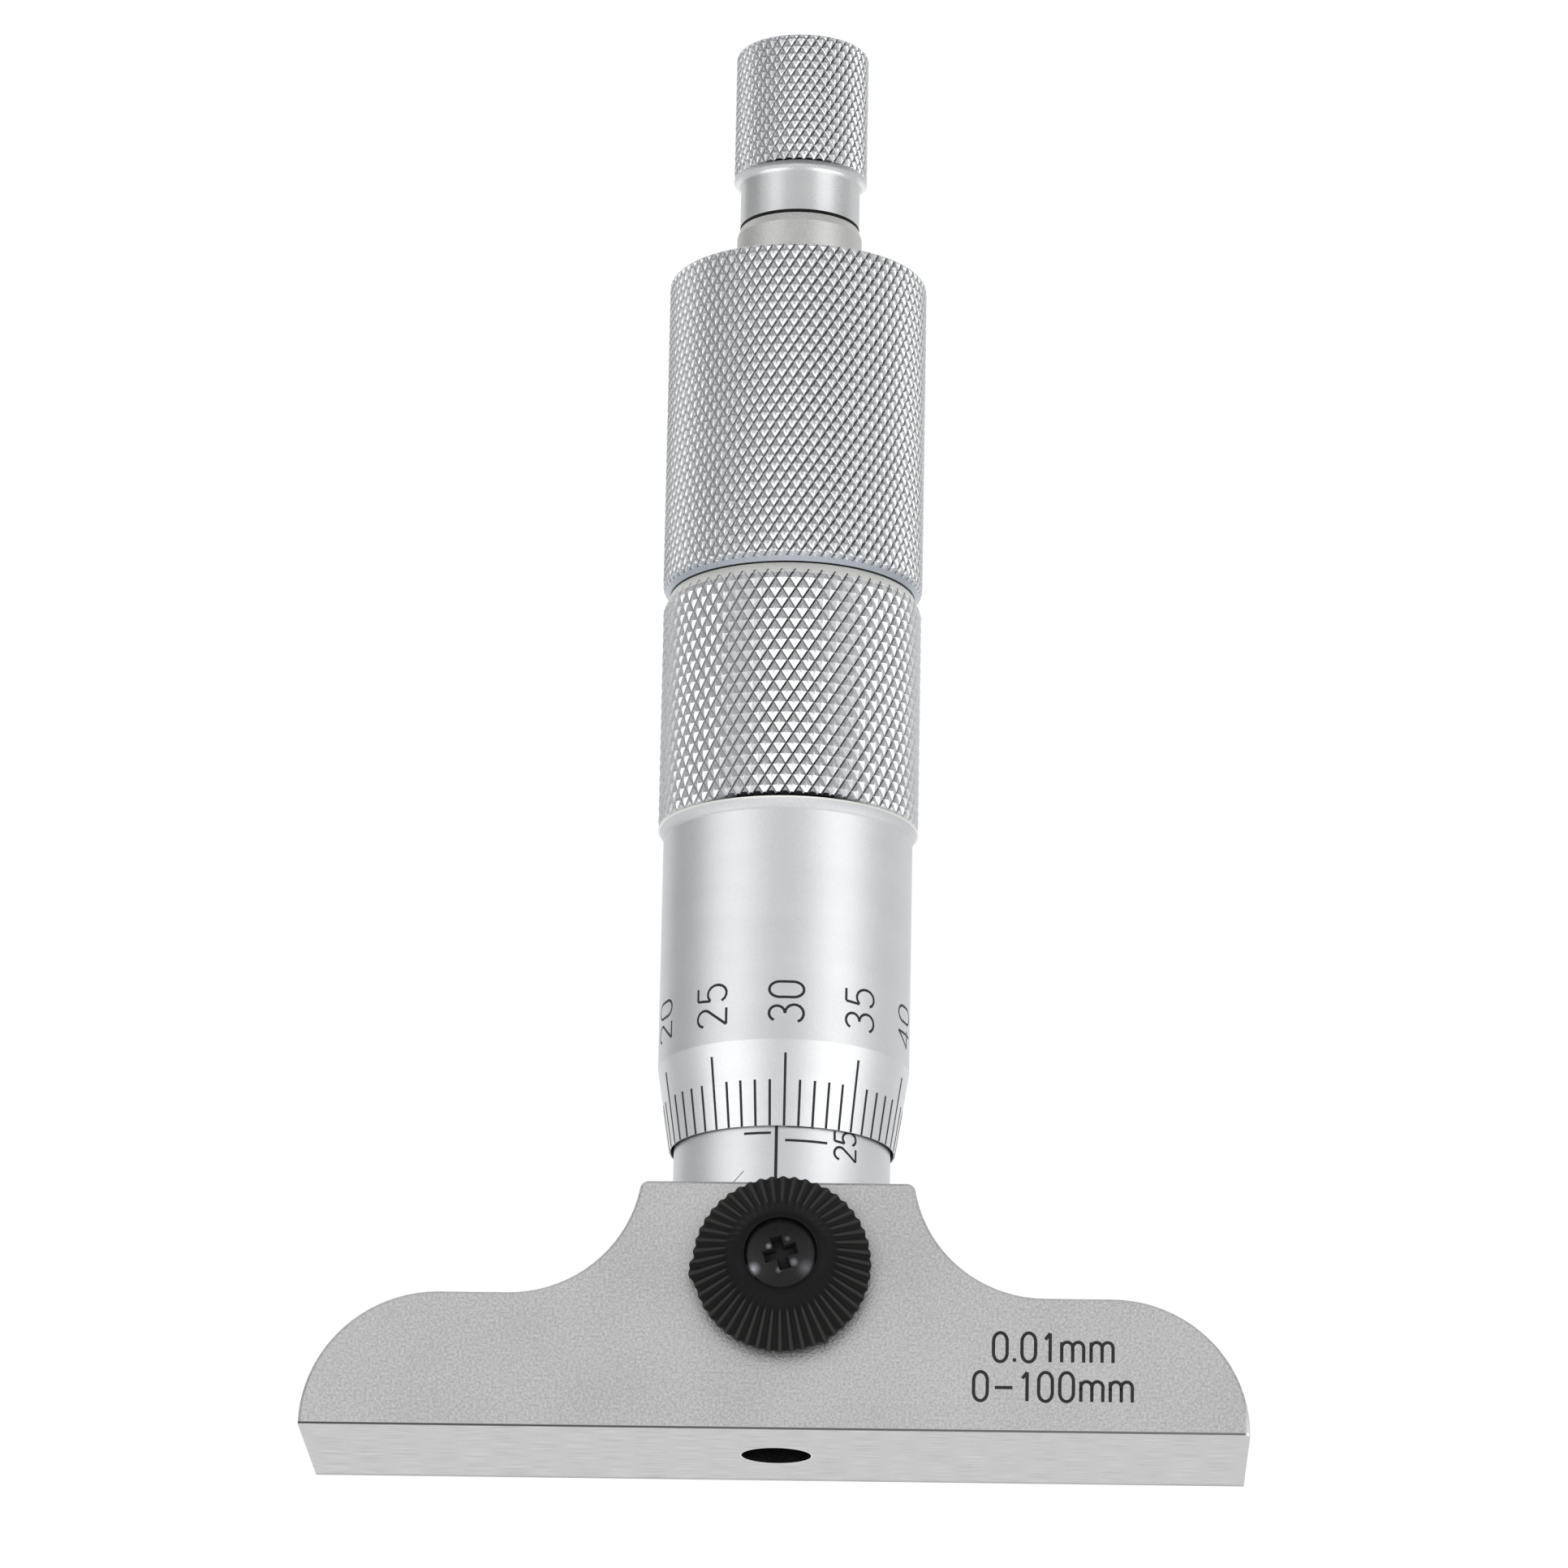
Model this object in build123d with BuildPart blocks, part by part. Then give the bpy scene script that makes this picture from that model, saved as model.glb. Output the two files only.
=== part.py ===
from build123d import *
import os
from math import cos, pi, sin

# A depth micrometer: a micrometer head that stands on a T-shaped base.
# Millimetres. The measuring face is on Z = 0, the screw runs along +Z and the scales face -Y.
# Heights are at the reading that the head shows at rest.

# Clearances
running_gap = 0.05  # radial, between round pieces that turn or slide in each other
seat_gap = 0.01  # radial, at pressed and screwed seats
face_gap = 0.05  # between end faces that turn past each other

# Base block
base_length = 63.5
base_depth = 16.0
base_height = 17.0
base_shoulder = 9.2
base_edge_break = 0.18
neck_margin = 1.78  # from the sleeve's side to the neck's, along the base
crown_share = 0.4035  # part of each arm that its rounded end takes
waist_share = 0.39  # part of each arm that the hollow below the neck takes
neck_corner = 0.6  # radius of the neck's upper corners

# Rods and their way through the head
rod_radius = 2.0
rod_bore_gap = 0.35
spindle_wall = 2.45
rod_seat_depth = 1.1

# Measuring travel
measuring_range = 25.0
travel_left = 0.705  # travel below the reading at rest
overtravel = 0.2

# Sleeves, and the collet at the top of the inner one
sleeve_wall = 0.75
sleeve_reveal = 3.3  # bare sleeve below the thimble's edge at the full reading
sleeve_overlap = 1.3  # sleeve above the zero line
spanner_hole_radius = 0.7
spanner_hole_height = 2.0
seat_shoulder = 0.6
thread_length = 14.0
thread_relief = 0.65
collet_wall = 0.85
collet_taper = 0.2
collet_slot_width = 0.6
collet_slot_length = 9.0
collet_slots = 3
collet_tip = 0.3
nut_wall = 1.0
nut_height = 2.8
nut_notch_width = 1.2
nut_notch_depth = 0.9
nut_gap = 0.5

# Thimble and the ring nut that clamps it on the spindle
thimble_gap = 0.22
thimble_rim_wall = 0.08
thimble_wall = 0.98
thimble_bevel = 5.8
thimble_plain = 23.0
thimble_ceiling_gap = 0.6
thimble_web = 1.1
thimble_recess = 1.845
thimble_edge = 0.5
thimble_edge_height = 0.76
knurl_rise = 0.4
knurl_flare = 0.9  # height of the hollow curve from the plain part out to the knurl
flange_rise = 1.9
flange_height = 1.4
ring_nut_height = 2.8
ring_nut_slot = 1.4
spindle_edge = 0.4

# Rod cap, screwed on the spindle's neck
cap_rise = 0.05
cap_length = 23.2
cap_gap = 0.105
cap_roof = 4.0
cap_edge = 0.45
cap_cavity_step = 0.55
cap_thread_length = 6.0
neck_rise = 0.3
rod_pad_height = 1.5
rod_pad_stem_radius = 1.4
rod_pad_stem_height = 4.0
rod_spring_wire_radius = 0.35
rod_spring_turns = 5

# Ratchet stop
stud_radius = 1.5
stud_head_rise = 1.0
stud_head_height = 1.6
stud_head_sink = 0.3
stud_slot_width = 0.6
stud_slot_depth = 0.7
washer_height = 0.3
spring_space = 1.8
spring_wire_radius = 0.25
spring_turns = 4
spring_length = 4.2
clutch_key_width = 1.2
clutch_key_depth = 0.5
clutch_height = 1.7
clutch_gap = 0.15
tooth_depth = 0.45
tooth_width = 0.9
tooth_count = 12
ratchet_gap = 0.13  # between the fixed collar and the grip's skirt
skirt_wall = 0.4
skirt_height = 3.77
collar_rise = 0.2
collar_edge = 0.6
collar_height = 4.15
spigot_height = 2.0
grip_rise = 0.5
grip_height = 9.4
grip_edge = 0.6
grip_flare = 0.8

# Clamp on the front of the base
clamp_height = 11.0
clamp_offset = 0.4  # to the right of the screw's axis, as the cross hole was drilled
clamp_web = 0.35  # from the clamp's screw up to the inner sleeve
clamp_screw_radius = 1.5
pad_radius = 1.2
pad_length = 1.35
pad_setback = 0.1  # from the bore's wall to the pad's tip
pad_guide = 0.85  # length of the pad's own bore
knob_radius = 6.0
knob_standoff = 1.0
knob_rim_width = 0.6
knob_cone = 3.0
knob_hub_wall = 0.4
knob_serrations = 52
serration_depth = 0.24
serration_fade = 0.03  # depth that is left at the hub
knob_recess_gap = 0.25
knob_recess_depth = 1.3
boss_rise = 0.4
boss_flat_depth = 0.45  # the flat that turns the knob with the screw
boss_height = 1.8
screw_head_radius = 2.1
screw_head_height = 1.1
screw_dome = 0.45
screw_shank_radius = 0.8
screw_shank_length = 2.6
cross_width = 0.75
cross_length = 2.35
cross_depth = 0.8
cross_taper = 12.0
cross_turn = 18.0  # from upright, where the screw stopped when it was tightened

# Radii along the screw, from the rod outwards
rod_bore_radius = rod_radius + rod_bore_gap
spindle_bore_radius = rod_radius + running_gap
spindle_radius = spindle_bore_radius + spindle_wall
thread_bore_radius = spindle_radius + running_gap
collet_radius = thread_bore_radius + collet_wall
inner_sleeve_radius = collet_radius + collet_taper + nut_wall
seat_radius = inner_sleeve_radius - seat_shoulder
sleeve_bore_radius = inner_sleeve_radius + running_gap
sleeve_radius = sleeve_bore_radius + sleeve_wall
thimble_bore_radius = sleeve_radius + thimble_gap
rim_radius = thimble_bore_radius + thimble_rim_wall
thimble_radius = thimble_bore_radius + thimble_wall
knurl_radius = thimble_radius + knurl_rise
cap_radius = knurl_radius + cap_rise
hub_bore_radius = spindle_radius + seat_gap
flange_radius = spindle_radius + flange_rise
flange_seat_radius = flange_radius + seat_gap
neck_radius = spindle_radius + neck_rise
cap_bore_radius = neck_radius + running_gap
cap_cavity_radius = cap_bore_radius - cap_cavity_step

# Radii of the ratchet stop, from its stud outwards
stud_bore_radius = stud_radius + running_gap
stud_head_radius = stud_radius + stud_head_rise
well_radius = stud_head_radius + running_gap
ratchet_bore_radius = stud_radius + spring_space
spigot_radius = ratchet_bore_radius - clutch_gap
skirt_radius = ratchet_bore_radius + clutch_key_depth + skirt_wall
collar_radius = skirt_radius + collar_rise
grip_radius = skirt_radius + grip_rise

# Heights along the screw, from the base up
screw_bore_radius = clamp_screw_radius + running_gap
seat_floor = clamp_height + screw_bore_radius + clamp_web
seat_depth = base_height - seat_floor
spindle_bottom = seat_floor + spindle_edge + travel_left + overtravel
rim_height = base_height + sleeve_reveal + travel_left
sleeve_top = base_height + sleeve_reveal + measuring_range + sleeve_overlap
nut_bottom = sleeve_top + nut_gap
nut_top = nut_bottom + nut_height
collet_top = nut_top + collet_tip
ceiling_height = collet_top + travel_left + overtravel + thimble_ceiling_gap
cone_bottom = ceiling_height + thimble_web
cone_top = cone_bottom + flange_rise
flange_top = cone_top + flange_height
ring_nut_bottom = flange_top + face_gap
ring_nut_top = ring_nut_bottom + ring_nut_height
thimble_top = ring_nut_top + thimble_recess
cap_bottom = thimble_top + cap_gap
neck_top = cap_bottom + cap_thread_length
rod_pad_bottom = neck_top + face_gap
rod_pad_top = rod_pad_bottom + rod_pad_height
cap_top = cap_bottom + cap_length
cavity_top = cap_top - cap_roof
collar_top = cap_top + collar_height
skirt_bottom = collar_top + ratchet_gap
skirt_top = skirt_bottom + skirt_height
grip_top = skirt_top + grip_height
spigot_top = collar_top + spigot_height
clutch_bottom = spigot_top + face_gap
clutch_top = clutch_bottom + clutch_height
spring_top = clutch_top + spring_length
head_top = grip_top - stud_head_sink
head_bottom = head_top - stud_head_height
washer_bottom = head_bottom - face_gap - washer_height

# The clamp's own frame: local X along the base, local Y up and outwards distances along -Y
front_face = -base_depth / 2
clamp_origin = (clamp_offset, front_face, clamp_height)
clamp_plane = Plane(origin=clamp_origin, x_dir=(1, 0, 0), z_dir=(0, -1, 0))
clamp_lathe = Plane(origin=clamp_origin, x_dir=(1, 0, 0), z_dir=(0, 0, -1))
clamp_axis = Axis(clamp_origin, (0, -1, 0))
pad_bore_radius = pad_radius + running_gap
pad_tip = rod_bore_radius + pad_setback - base_depth / 2
pad_back = pad_tip + pad_length
knob_front = knob_standoff + knob_rim_width + knob_cone
recess_floor = knob_front - knob_recess_depth
boss_top = recess_floor - face_gap
boss_bottom = boss_top - boss_height
boss_radius = clamp_screw_radius + boss_rise
boss_flat = boss_radius - boss_flat_depth
knob_recess_radius = screw_head_radius + knob_recess_gap
knob_hub_radius = knob_recess_radius + knob_hub_wall


# Base block: one T-shaped piece, with the rod bore, the sleeve's seat and the clamp's cross hole
neck_side = sleeve_radius + neck_margin
arm = base_length / 2 - neck_side
crown_foot = base_length / 2 - crown_share * arm
waist_foot = neck_side + waist_share * arm
with BuildPart() as base_block:
    with BuildSketch(Plane.XZ) as base_outline:
        with BuildLine():
            foot = Line((0, 0), (base_length / 2, 0))
            crown = TangentArc(foot @ 1, (crown_foot, base_shoulder), tangent=(0, 1))
            shoulder = Line(crown @ 1, (waist_foot, base_shoulder))
            waist = TangentArc(shoulder @ 1, (neck_side, base_height), tangent=(-1, 0))
            Line(waist @ 1, (0, base_height))
            mirror(about=Plane.YZ)
        make_face()
        neck_points = base_outline.vertices().group_by(Axis.Y)[-1].sort_by(Axis.X)
        fillet([neck_points[0], neck_points[-1]], radius=neck_corner)
    extrude(amount=base_depth / 2, both=True)
    outlines = base_block.faces().filter_by(Axis.Y).edges()
    chamfer(outlines, length=base_edge_break)
    with Locations(Plane.XY.offset(base_height)):
        CounterBoreHole(rod_bore_radius, seat_radius, seat_depth, depth=base_height)
    with Locations(clamp_plane):
        CounterBoreHole(
            pad_bore_radius,
            screw_bore_radius,
            base_depth / 2 - rod_bore_radius - pad_guide,
            depth=base_depth / 2,
        )


# Inner sleeve: pressed into the base. Its top is a slotted collet, threaded inside for the spindle
with BuildPart() as inner_sleeve:
    with BuildSketch(Plane.XZ):
        with BuildLine():
            Polyline(
                (thread_bore_radius + thread_relief, seat_floor),
                (seat_radius - seat_gap, seat_floor),
                (seat_radius - seat_gap, base_height),
                (inner_sleeve_radius, base_height),
                (inner_sleeve_radius, sleeve_top),
                (collet_radius + collet_taper, sleeve_top),
                (collet_radius, collet_top),
                (thread_bore_radius, collet_top),
                (thread_bore_radius, collet_top - thread_length),
                (thread_bore_radius + thread_relief, collet_top - thread_length - thread_relief),
                close=True,
            )
        make_face()
    revolve(axis=Axis.Z)
    with BuildSketch(Plane.XY.offset(collet_top)):
        with PolarLocations(inner_sleeve_radius / 2, collet_slots):
            Rectangle(inner_sleeve_radius, collet_slot_width)
    extrude(amount=-collet_slot_length, mode=Mode.SUBTRACT)


# Adjusting nut: closes the collet on the spindle's thread
taper_slope = collet_taper / (collet_top - sleeve_top)
nut_bore_bottom = collet_radius + taper_slope * (collet_top - nut_bottom) + seat_gap
nut_bore_top = collet_radius + taper_slope * (collet_top - nut_top) + seat_gap
with BuildPart() as adjusting_nut:
    with BuildSketch(Plane.XZ):
        with BuildLine():
            Polyline(
                (nut_bore_bottom, nut_bottom),
                (inner_sleeve_radius, nut_bottom),
                (inner_sleeve_radius, nut_top),
                (nut_bore_top, nut_top),
                close=True,
            )
        make_face()
    revolve(axis=Axis.Z)
    with BuildSketch(Plane.XY.offset(nut_top)):
        Rectangle(2 * inner_sleeve_radius, nut_notch_width)
    extrude(amount=-nut_notch_depth, mode=Mode.SUBTRACT)


# Graduated sleeve: a thin tube that turns on the inner sleeve to set zero, with a spanner hole behind
with BuildPart() as graduated_sleeve:
    with BuildSketch(Plane.XY.offset(base_height + face_gap)):
        Circle(sleeve_radius)
        Circle(sleeve_bore_radius, mode=Mode.SUBTRACT)
    extrude(amount=sleeve_top - base_height - face_gap)
    with BuildSketch(Plane.XZ):
        with Locations((0, base_height + spanner_hole_height)):
            Circle(spanner_hole_radius)
    extrude(amount=-sleeve_radius, mode=Mode.SUBTRACT)


# Spindle: hollow for the rods, threaded below, with a flange for the thimble and a neck for the cap
with BuildPart() as spindle:
    with BuildSketch(Plane.XZ):
        with BuildLine():
            Polyline(
                (spindle_bore_radius, spindle_bottom),
                (spindle_radius - spindle_edge, spindle_bottom),
                (spindle_radius, spindle_bottom + spindle_edge),
                (spindle_radius, cone_bottom),
                (flange_radius, cone_top),
                (flange_radius, flange_top),
                (neck_radius, flange_top),
                (neck_radius, neck_top - spindle_edge),
                (neck_radius - spindle_edge, neck_top),
                (spindle_bore_radius + rod_seat_depth, neck_top),
                (spindle_bore_radius, neck_top - rod_seat_depth),
                close=True,
            )
        make_face()
    revolve(axis=Axis.Z)


# Thimble: a deep cup over the sleeve, with the scale's bevel, a knurled grip and a conical seat
knurl_bottom = rim_height + thimble_plain
with BuildPart() as thimble:
    with BuildSketch(Plane.XZ):
        with BuildLine():
            front = Polyline(
                (thimble_bore_radius, ceiling_height),
                (thimble_bore_radius, rim_height),
                (rim_radius, rim_height),
                (thimble_radius, rim_height + thimble_bevel),
                (thimble_radius, knurl_bottom - knurl_flare),
            )
            flare = TangentArc(front @ 1, (knurl_radius, knurl_bottom), tangent=(0, 1))
            Polyline(
                flare @ 1,
                (knurl_radius, thimble_top - thimble_edge_height),
                (knurl_radius - thimble_edge, thimble_top),
                (flange_seat_radius, thimble_top),
                (flange_seat_radius, cone_top + seat_gap),
                (hub_bore_radius, cone_bottom + seat_gap),
                (hub_bore_radius, ceiling_height),
                front @ 0,
            )
        make_face()
    revolve(axis=Axis.Z)


# Ring nut: clamps the spindle's flange into the thimble's seat
with BuildPart() as ring_nut:
    with BuildSketch(Plane.XY.offset(ring_nut_bottom)):
        Circle(flange_radius)
        Circle(cap_bore_radius, mode=Mode.SUBTRACT)
    extrude(amount=ring_nut_height)
    with BuildSketch(Plane.XY.offset(ring_nut_top)):
        Rectangle(2 * flange_radius, ring_nut_slot)
    extrude(amount=-ring_nut_slot, mode=Mode.SUBTRACT)


# Rod pad: rests on the spindle's top, or on the head of a rod, and stays still while the cap turns
with BuildPart() as rod_pad:
    with BuildSketch(Plane.XY.offset(rod_pad_bottom)):
        Circle(cap_cavity_radius - running_gap)
    extrude(amount=rod_pad_height)
    with BuildSketch(Plane.XY.offset(rod_pad_top)):
        Circle(rod_pad_stem_radius)
    extrude(amount=rod_pad_stem_height)


# Rod spring: a coil round the pad's stem that holds the rod's head down
rod_spring_radius = (cap_cavity_radius + rod_pad_stem_radius) / 2
rod_spring_height = cavity_top - rod_pad_top - 2 * rod_spring_wire_radius - 2 * face_gap
with BuildPart() as rod_spring:
    with BuildLine() as rod_coil:
        Helix(
            pitch=rod_spring_height / rod_spring_turns,
            height=rod_spring_height,
            radius=rod_spring_radius,
            center=(0, 0, rod_pad_top + rod_spring_wire_radius + face_gap),
        )
    with BuildSketch(Plane(origin=rod_coil.line @ 0, z_dir=rod_coil.line % 0)):
        Circle(rod_spring_wire_radius)
    sweep(path=rod_coil.line, is_frenet=True)


# Rod cap: unscrews from the spindle's neck to change rods, and holds the rod's head in its cavity
with BuildPart() as rod_cap:
    with BuildSketch(Plane.XZ):
        with BuildLine():
            Polyline(
                (cap_bore_radius, cap_bottom),
                (cap_radius, cap_bottom),
                (cap_radius, cap_top),
                (stud_radius + seat_gap, cap_top),
                (stud_radius + seat_gap, cavity_top),
                (cap_cavity_radius, cavity_top),
                (cap_cavity_radius, rod_pad_bottom),
                (cap_bore_radius, rod_pad_bottom),
                close=True,
            )
        make_face()
    revolve(axis=Axis.Z)
    cap_rims = rod_cap.edges().filter_by(GeomType.CIRCLE).group_by(SortBy.RADIUS)[-1]
    chamfer(cap_rims, length=cap_edge)


# Ratchet stop's fixed collar, with a crown of teeth on its spigot
def tooth_notch(height, slope):
    """A triangle for one gap between ratchet teeth, one side upright, on a plane across the crown."""
    with BuildSketch(Plane.XZ) as notch:
        with BuildLine():
            Polyline(
                (-tooth_width / 2, height),
                (tooth_width / 2, height),
                (slope * tooth_width / 2, height - slope * tooth_depth),
                close=True,
            )
        make_face()
    return notch.sketch


with BuildPart() as collar_notch:
    extrude(tooth_notch(spigot_top, 1), amount=2 * spigot_radius)
with BuildPart() as ratchet_collar:
    with BuildSketch(Plane.XZ):
        with BuildLine():
            Polyline(
                (stud_bore_radius, cap_top + face_gap),
                (collar_radius, cap_top + face_gap),
                (collar_radius, collar_top - collar_edge),
                (skirt_radius, collar_top),
                (spigot_radius, collar_top),
                (spigot_radius, spigot_top),
                (stud_bore_radius, spigot_top),
                close=True,
            )
        make_face()
    revolve(axis=Axis.Z)
    with PolarLocations(0, tooth_count):
        add(collar_notch.part, mode=Mode.SUBTRACT)


# Ratchet clutch: a toothed ring that turns with the grip on two keys and lifts against the spring
with BuildPart() as clutch_notch:
    extrude(tooth_notch(clutch_bottom, -1), amount=2 * spigot_radius)
with BuildPart() as ratchet_clutch:
    with BuildSketch(Plane.XY.offset(clutch_bottom)):
        Circle(spigot_radius)
        Rectangle(
            2 * (ratchet_bore_radius + clutch_key_depth - clutch_gap),
            clutch_key_width - 2 * running_gap,
        )
        Circle(stud_bore_radius, mode=Mode.SUBTRACT)
    extrude(amount=clutch_height)
    with PolarLocations(0, tooth_count):
        add(clutch_notch.part, mode=Mode.SUBTRACT)


# Ratchet spring: a coil round the stud, between the clutch and the roof of the grip's bore
spring_radius = (ratchet_bore_radius + stud_radius) / 2
spring_height = spring_length - 2 * spring_wire_radius - 2 * face_gap
with BuildPart() as ratchet_spring:
    with BuildLine() as coil:
        Helix(
            pitch=spring_height / spring_turns,
            height=spring_height,
            radius=spring_radius,
            center=(0, 0, clutch_top + spring_wire_radius + face_gap),
        )
    with BuildSketch(Plane(origin=coil.line @ 0, z_dir=coil.line % 0)):
        Circle(spring_wire_radius)
    sweep(path=coil.line, is_frenet=True)


# Ratchet grip: the small knurled knob, with its skirt, the clutch's bore and a well for the stud's head
with BuildPart() as ratchet_grip:
    with BuildSketch(Plane.XZ):
        with BuildLine():
            skirt = Polyline(
                (ratchet_bore_radius, spring_top),
                (ratchet_bore_radius, skirt_bottom),
                (skirt_radius, skirt_bottom),
                (skirt_radius, skirt_top - grip_flare),
            )
            grip_foot = TangentArc(skirt @ 1, (grip_radius, skirt_top), tangent=(0, 1))
            Polyline(
                grip_foot @ 1,
                (grip_radius, grip_top),
                (well_radius, grip_top),
                (well_radius, washer_bottom - face_gap),
                (stud_bore_radius, washer_bottom - face_gap),
                (stud_bore_radius, spring_top),
                skirt @ 0,
            )
        make_face()
    revolve(axis=Axis.Z)
    grip_rims = ratchet_grip.edges().filter_by(GeomType.CIRCLE).group_by(Axis.Z)[-1]
    chamfer(grip_rims.sort_by(SortBy.RADIUS)[-1], length=grip_edge)
    with BuildSketch(Plane.XY.offset(skirt_bottom)):
        Rectangle(2 * (ratchet_bore_radius + clutch_key_depth), clutch_key_width)
    extrude(amount=spring_top - skirt_bottom, mode=Mode.SUBTRACT)


# Thrust washer: lies under the stud's head, in the grip's well
with BuildPart() as thrust_washer:
    with BuildSketch(Plane.XY.offset(washer_bottom)):
        Circle(stud_head_radius)
        Circle(stud_bore_radius, mode=Mode.SUBTRACT)
    extrude(amount=washer_height)


# Ratchet stud: the shouldered screw that holds the stop on the cap
with BuildPart() as ratchet_stud:
    with BuildSketch(Plane.XY.offset(cavity_top)):
        Circle(stud_radius)
    extrude(amount=head_bottom - cavity_top)
    with BuildSketch(Plane.XY.offset(head_bottom)):
        Circle(stud_head_radius)
    extrude(amount=stud_head_height)
    with BuildSketch(Plane.XY.offset(head_top)):
        Rectangle(2 * stud_head_radius, stud_slot_width)
    extrude(amount=-stud_slot_depth, mode=Mode.SUBTRACT)


# Clamp pad: a brass plug that the clamp screw pushes against the rod
with BuildPart() as clamp_pad:
    with BuildSketch(clamp_plane.offset(pad_tip)):
        Circle(pad_radius)
    extrude(amount=pad_length)


# Clamp screw: threaded into the base, with a flatted boss for the knob and a hole for its screw
with BuildPart() as clamp_screw:
    with BuildSketch(clamp_plane.offset(pad_back + face_gap)):
        Circle(clamp_screw_radius)
    extrude(amount=boss_bottom - pad_back - face_gap)
    with BuildSketch(clamp_plane.offset(boss_bottom)):
        Circle(boss_radius)
        with Locations((boss_radius + boss_flat, 0)):
            Rectangle(2 * boss_radius, 2 * boss_radius, mode=Mode.SUBTRACT)
    extrude(amount=boss_height)
    with Locations(clamp_plane.offset(boss_top)):
        Hole(screw_shank_radius + seat_gap, depth=screw_shank_length)


# Clamp knob: a moulded wheel with radial serrations down its cone and round its rim
def serrated_outline(tip_radius, depth):
    """A star of sharp serrations, as the points of one closed outline."""
    step = pi / knob_serrations
    radii = [tip_radius, tip_radius - depth] * knob_serrations
    return [(r * cos(i * step), r * sin(i * step)) for i, r in enumerate(radii)]


with BuildPart() as clamp_knob:
    with BuildSketch(clamp_plane.offset(knob_standoff)):
        with BuildLine():
            Polyline(*serrated_outline(knob_radius, serration_depth), close=True)
        make_face()
    extrude(amount=knob_rim_width)
    with BuildSketch(clamp_plane.offset(knob_standoff + knob_rim_width)):
        with BuildLine():
            Polyline(*serrated_outline(knob_radius, serration_depth), close=True)
        make_face()
    with BuildSketch(clamp_plane.offset(knob_front)):
        with BuildLine():
            Polyline(*serrated_outline(knob_hub_radius, serration_fade), close=True)
        make_face()
    loft(ruled=True)
    with Locations(clamp_plane.offset(knob_front)):
        Hole(knob_recess_radius, depth=knob_recess_depth)
    with BuildSketch(clamp_plane.offset(boss_bottom)):
        Circle(boss_radius + seat_gap)
        with Locations((boss_radius + boss_flat + seat_gap, 0)):
            Rectangle(2 * boss_radius, 2 * boss_radius, mode=Mode.SUBTRACT)
    extrude(until=Until.LAST, mode=Mode.SUBTRACT)
    with BuildSketch(clamp_plane):
        Circle(screw_bore_radius)
    extrude(amount=boss_bottom, mode=Mode.SUBTRACT)


# Knob screw: a domed cross-recess screw that holds the knob on the clamp screw's boss
with BuildPart() as knob_screw:
    with BuildSketch(clamp_lathe):
        with BuildLine():
            side = Line(
                (screw_head_radius, recess_floor),
                (screw_head_radius, recess_floor + screw_head_height - screw_dome),
            )
            dome = TangentArc(
                (0, recess_floor + screw_head_height), side @ 1, tangent=(1, 0)
            )
            Polyline(
                dome @ 0,
                (0, boss_top - screw_shank_length),
                (screw_shank_radius, boss_top - screw_shank_length),
                (screw_shank_radius, recess_floor),
                side @ 0,
            )
        make_face()
    revolve(axis=clamp_axis)
    with BuildSketch(clamp_plane.offset(recess_floor + screw_head_height)):
        Rectangle(cross_length, cross_width, rotation=cross_turn)
        Rectangle(cross_width, cross_length, rotation=cross_turn)
    extrude(amount=-cross_depth, taper=cross_taper, mode=Mode.SUBTRACT)


pieces = {
    "base_block": base_block,
    "inner_sleeve": inner_sleeve,
    "adjusting_nut": adjusting_nut,
    "graduated_sleeve": graduated_sleeve,
    "spindle": spindle,
    "thimble": thimble,
    "ring_nut": ring_nut,
    "rod_pad": rod_pad,
    "rod_spring": rod_spring,
    "rod_cap": rod_cap,
    "ratchet_collar": ratchet_collar,
    "ratchet_clutch": ratchet_clutch,
    "ratchet_spring": ratchet_spring,
    "ratchet_grip": ratchet_grip,
    "thrust_washer": thrust_washer,
    "ratchet_stud": ratchet_stud,
    "clamp_pad": clamp_pad,
    "clamp_screw": clamp_screw,
    "clamp_knob": clamp_knob,
    "knob_screw": knob_screw,
}
os.makedirs("parts", exist_ok=True)
for name, piece in pieces.items():
    piece.part.label = name
    export_step(piece.part, f"parts/{name}.step")
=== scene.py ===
from math import asin, ceil, cos, exp, pi, radians, sin, tan

import bmesh
import bpy
from mathutils import Matrix, Vector


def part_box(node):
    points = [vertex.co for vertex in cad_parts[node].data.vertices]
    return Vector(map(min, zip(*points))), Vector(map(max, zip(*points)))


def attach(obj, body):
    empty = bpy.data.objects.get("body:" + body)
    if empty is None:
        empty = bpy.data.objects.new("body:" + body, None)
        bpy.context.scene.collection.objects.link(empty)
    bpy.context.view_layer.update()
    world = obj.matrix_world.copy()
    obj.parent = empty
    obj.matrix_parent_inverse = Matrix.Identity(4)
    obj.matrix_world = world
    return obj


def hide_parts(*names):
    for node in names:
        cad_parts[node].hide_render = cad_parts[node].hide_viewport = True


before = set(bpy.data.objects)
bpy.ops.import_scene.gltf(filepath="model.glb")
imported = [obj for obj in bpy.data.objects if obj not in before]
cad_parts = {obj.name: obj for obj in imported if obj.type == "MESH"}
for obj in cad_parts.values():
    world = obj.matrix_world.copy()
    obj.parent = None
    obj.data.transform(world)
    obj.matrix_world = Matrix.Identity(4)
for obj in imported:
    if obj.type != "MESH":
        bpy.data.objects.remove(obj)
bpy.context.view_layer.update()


# Base block: one T-shaped piece of hardened steel that carries the whole head.
# It is milled and satin blasted, its edges are broken by hand, and its underside is
# the measuring face, ground along its length.
mm = 0.001
base_low, base_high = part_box("base_block")
cloud_scale = 0.02
cloud_share = 0.22


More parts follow.
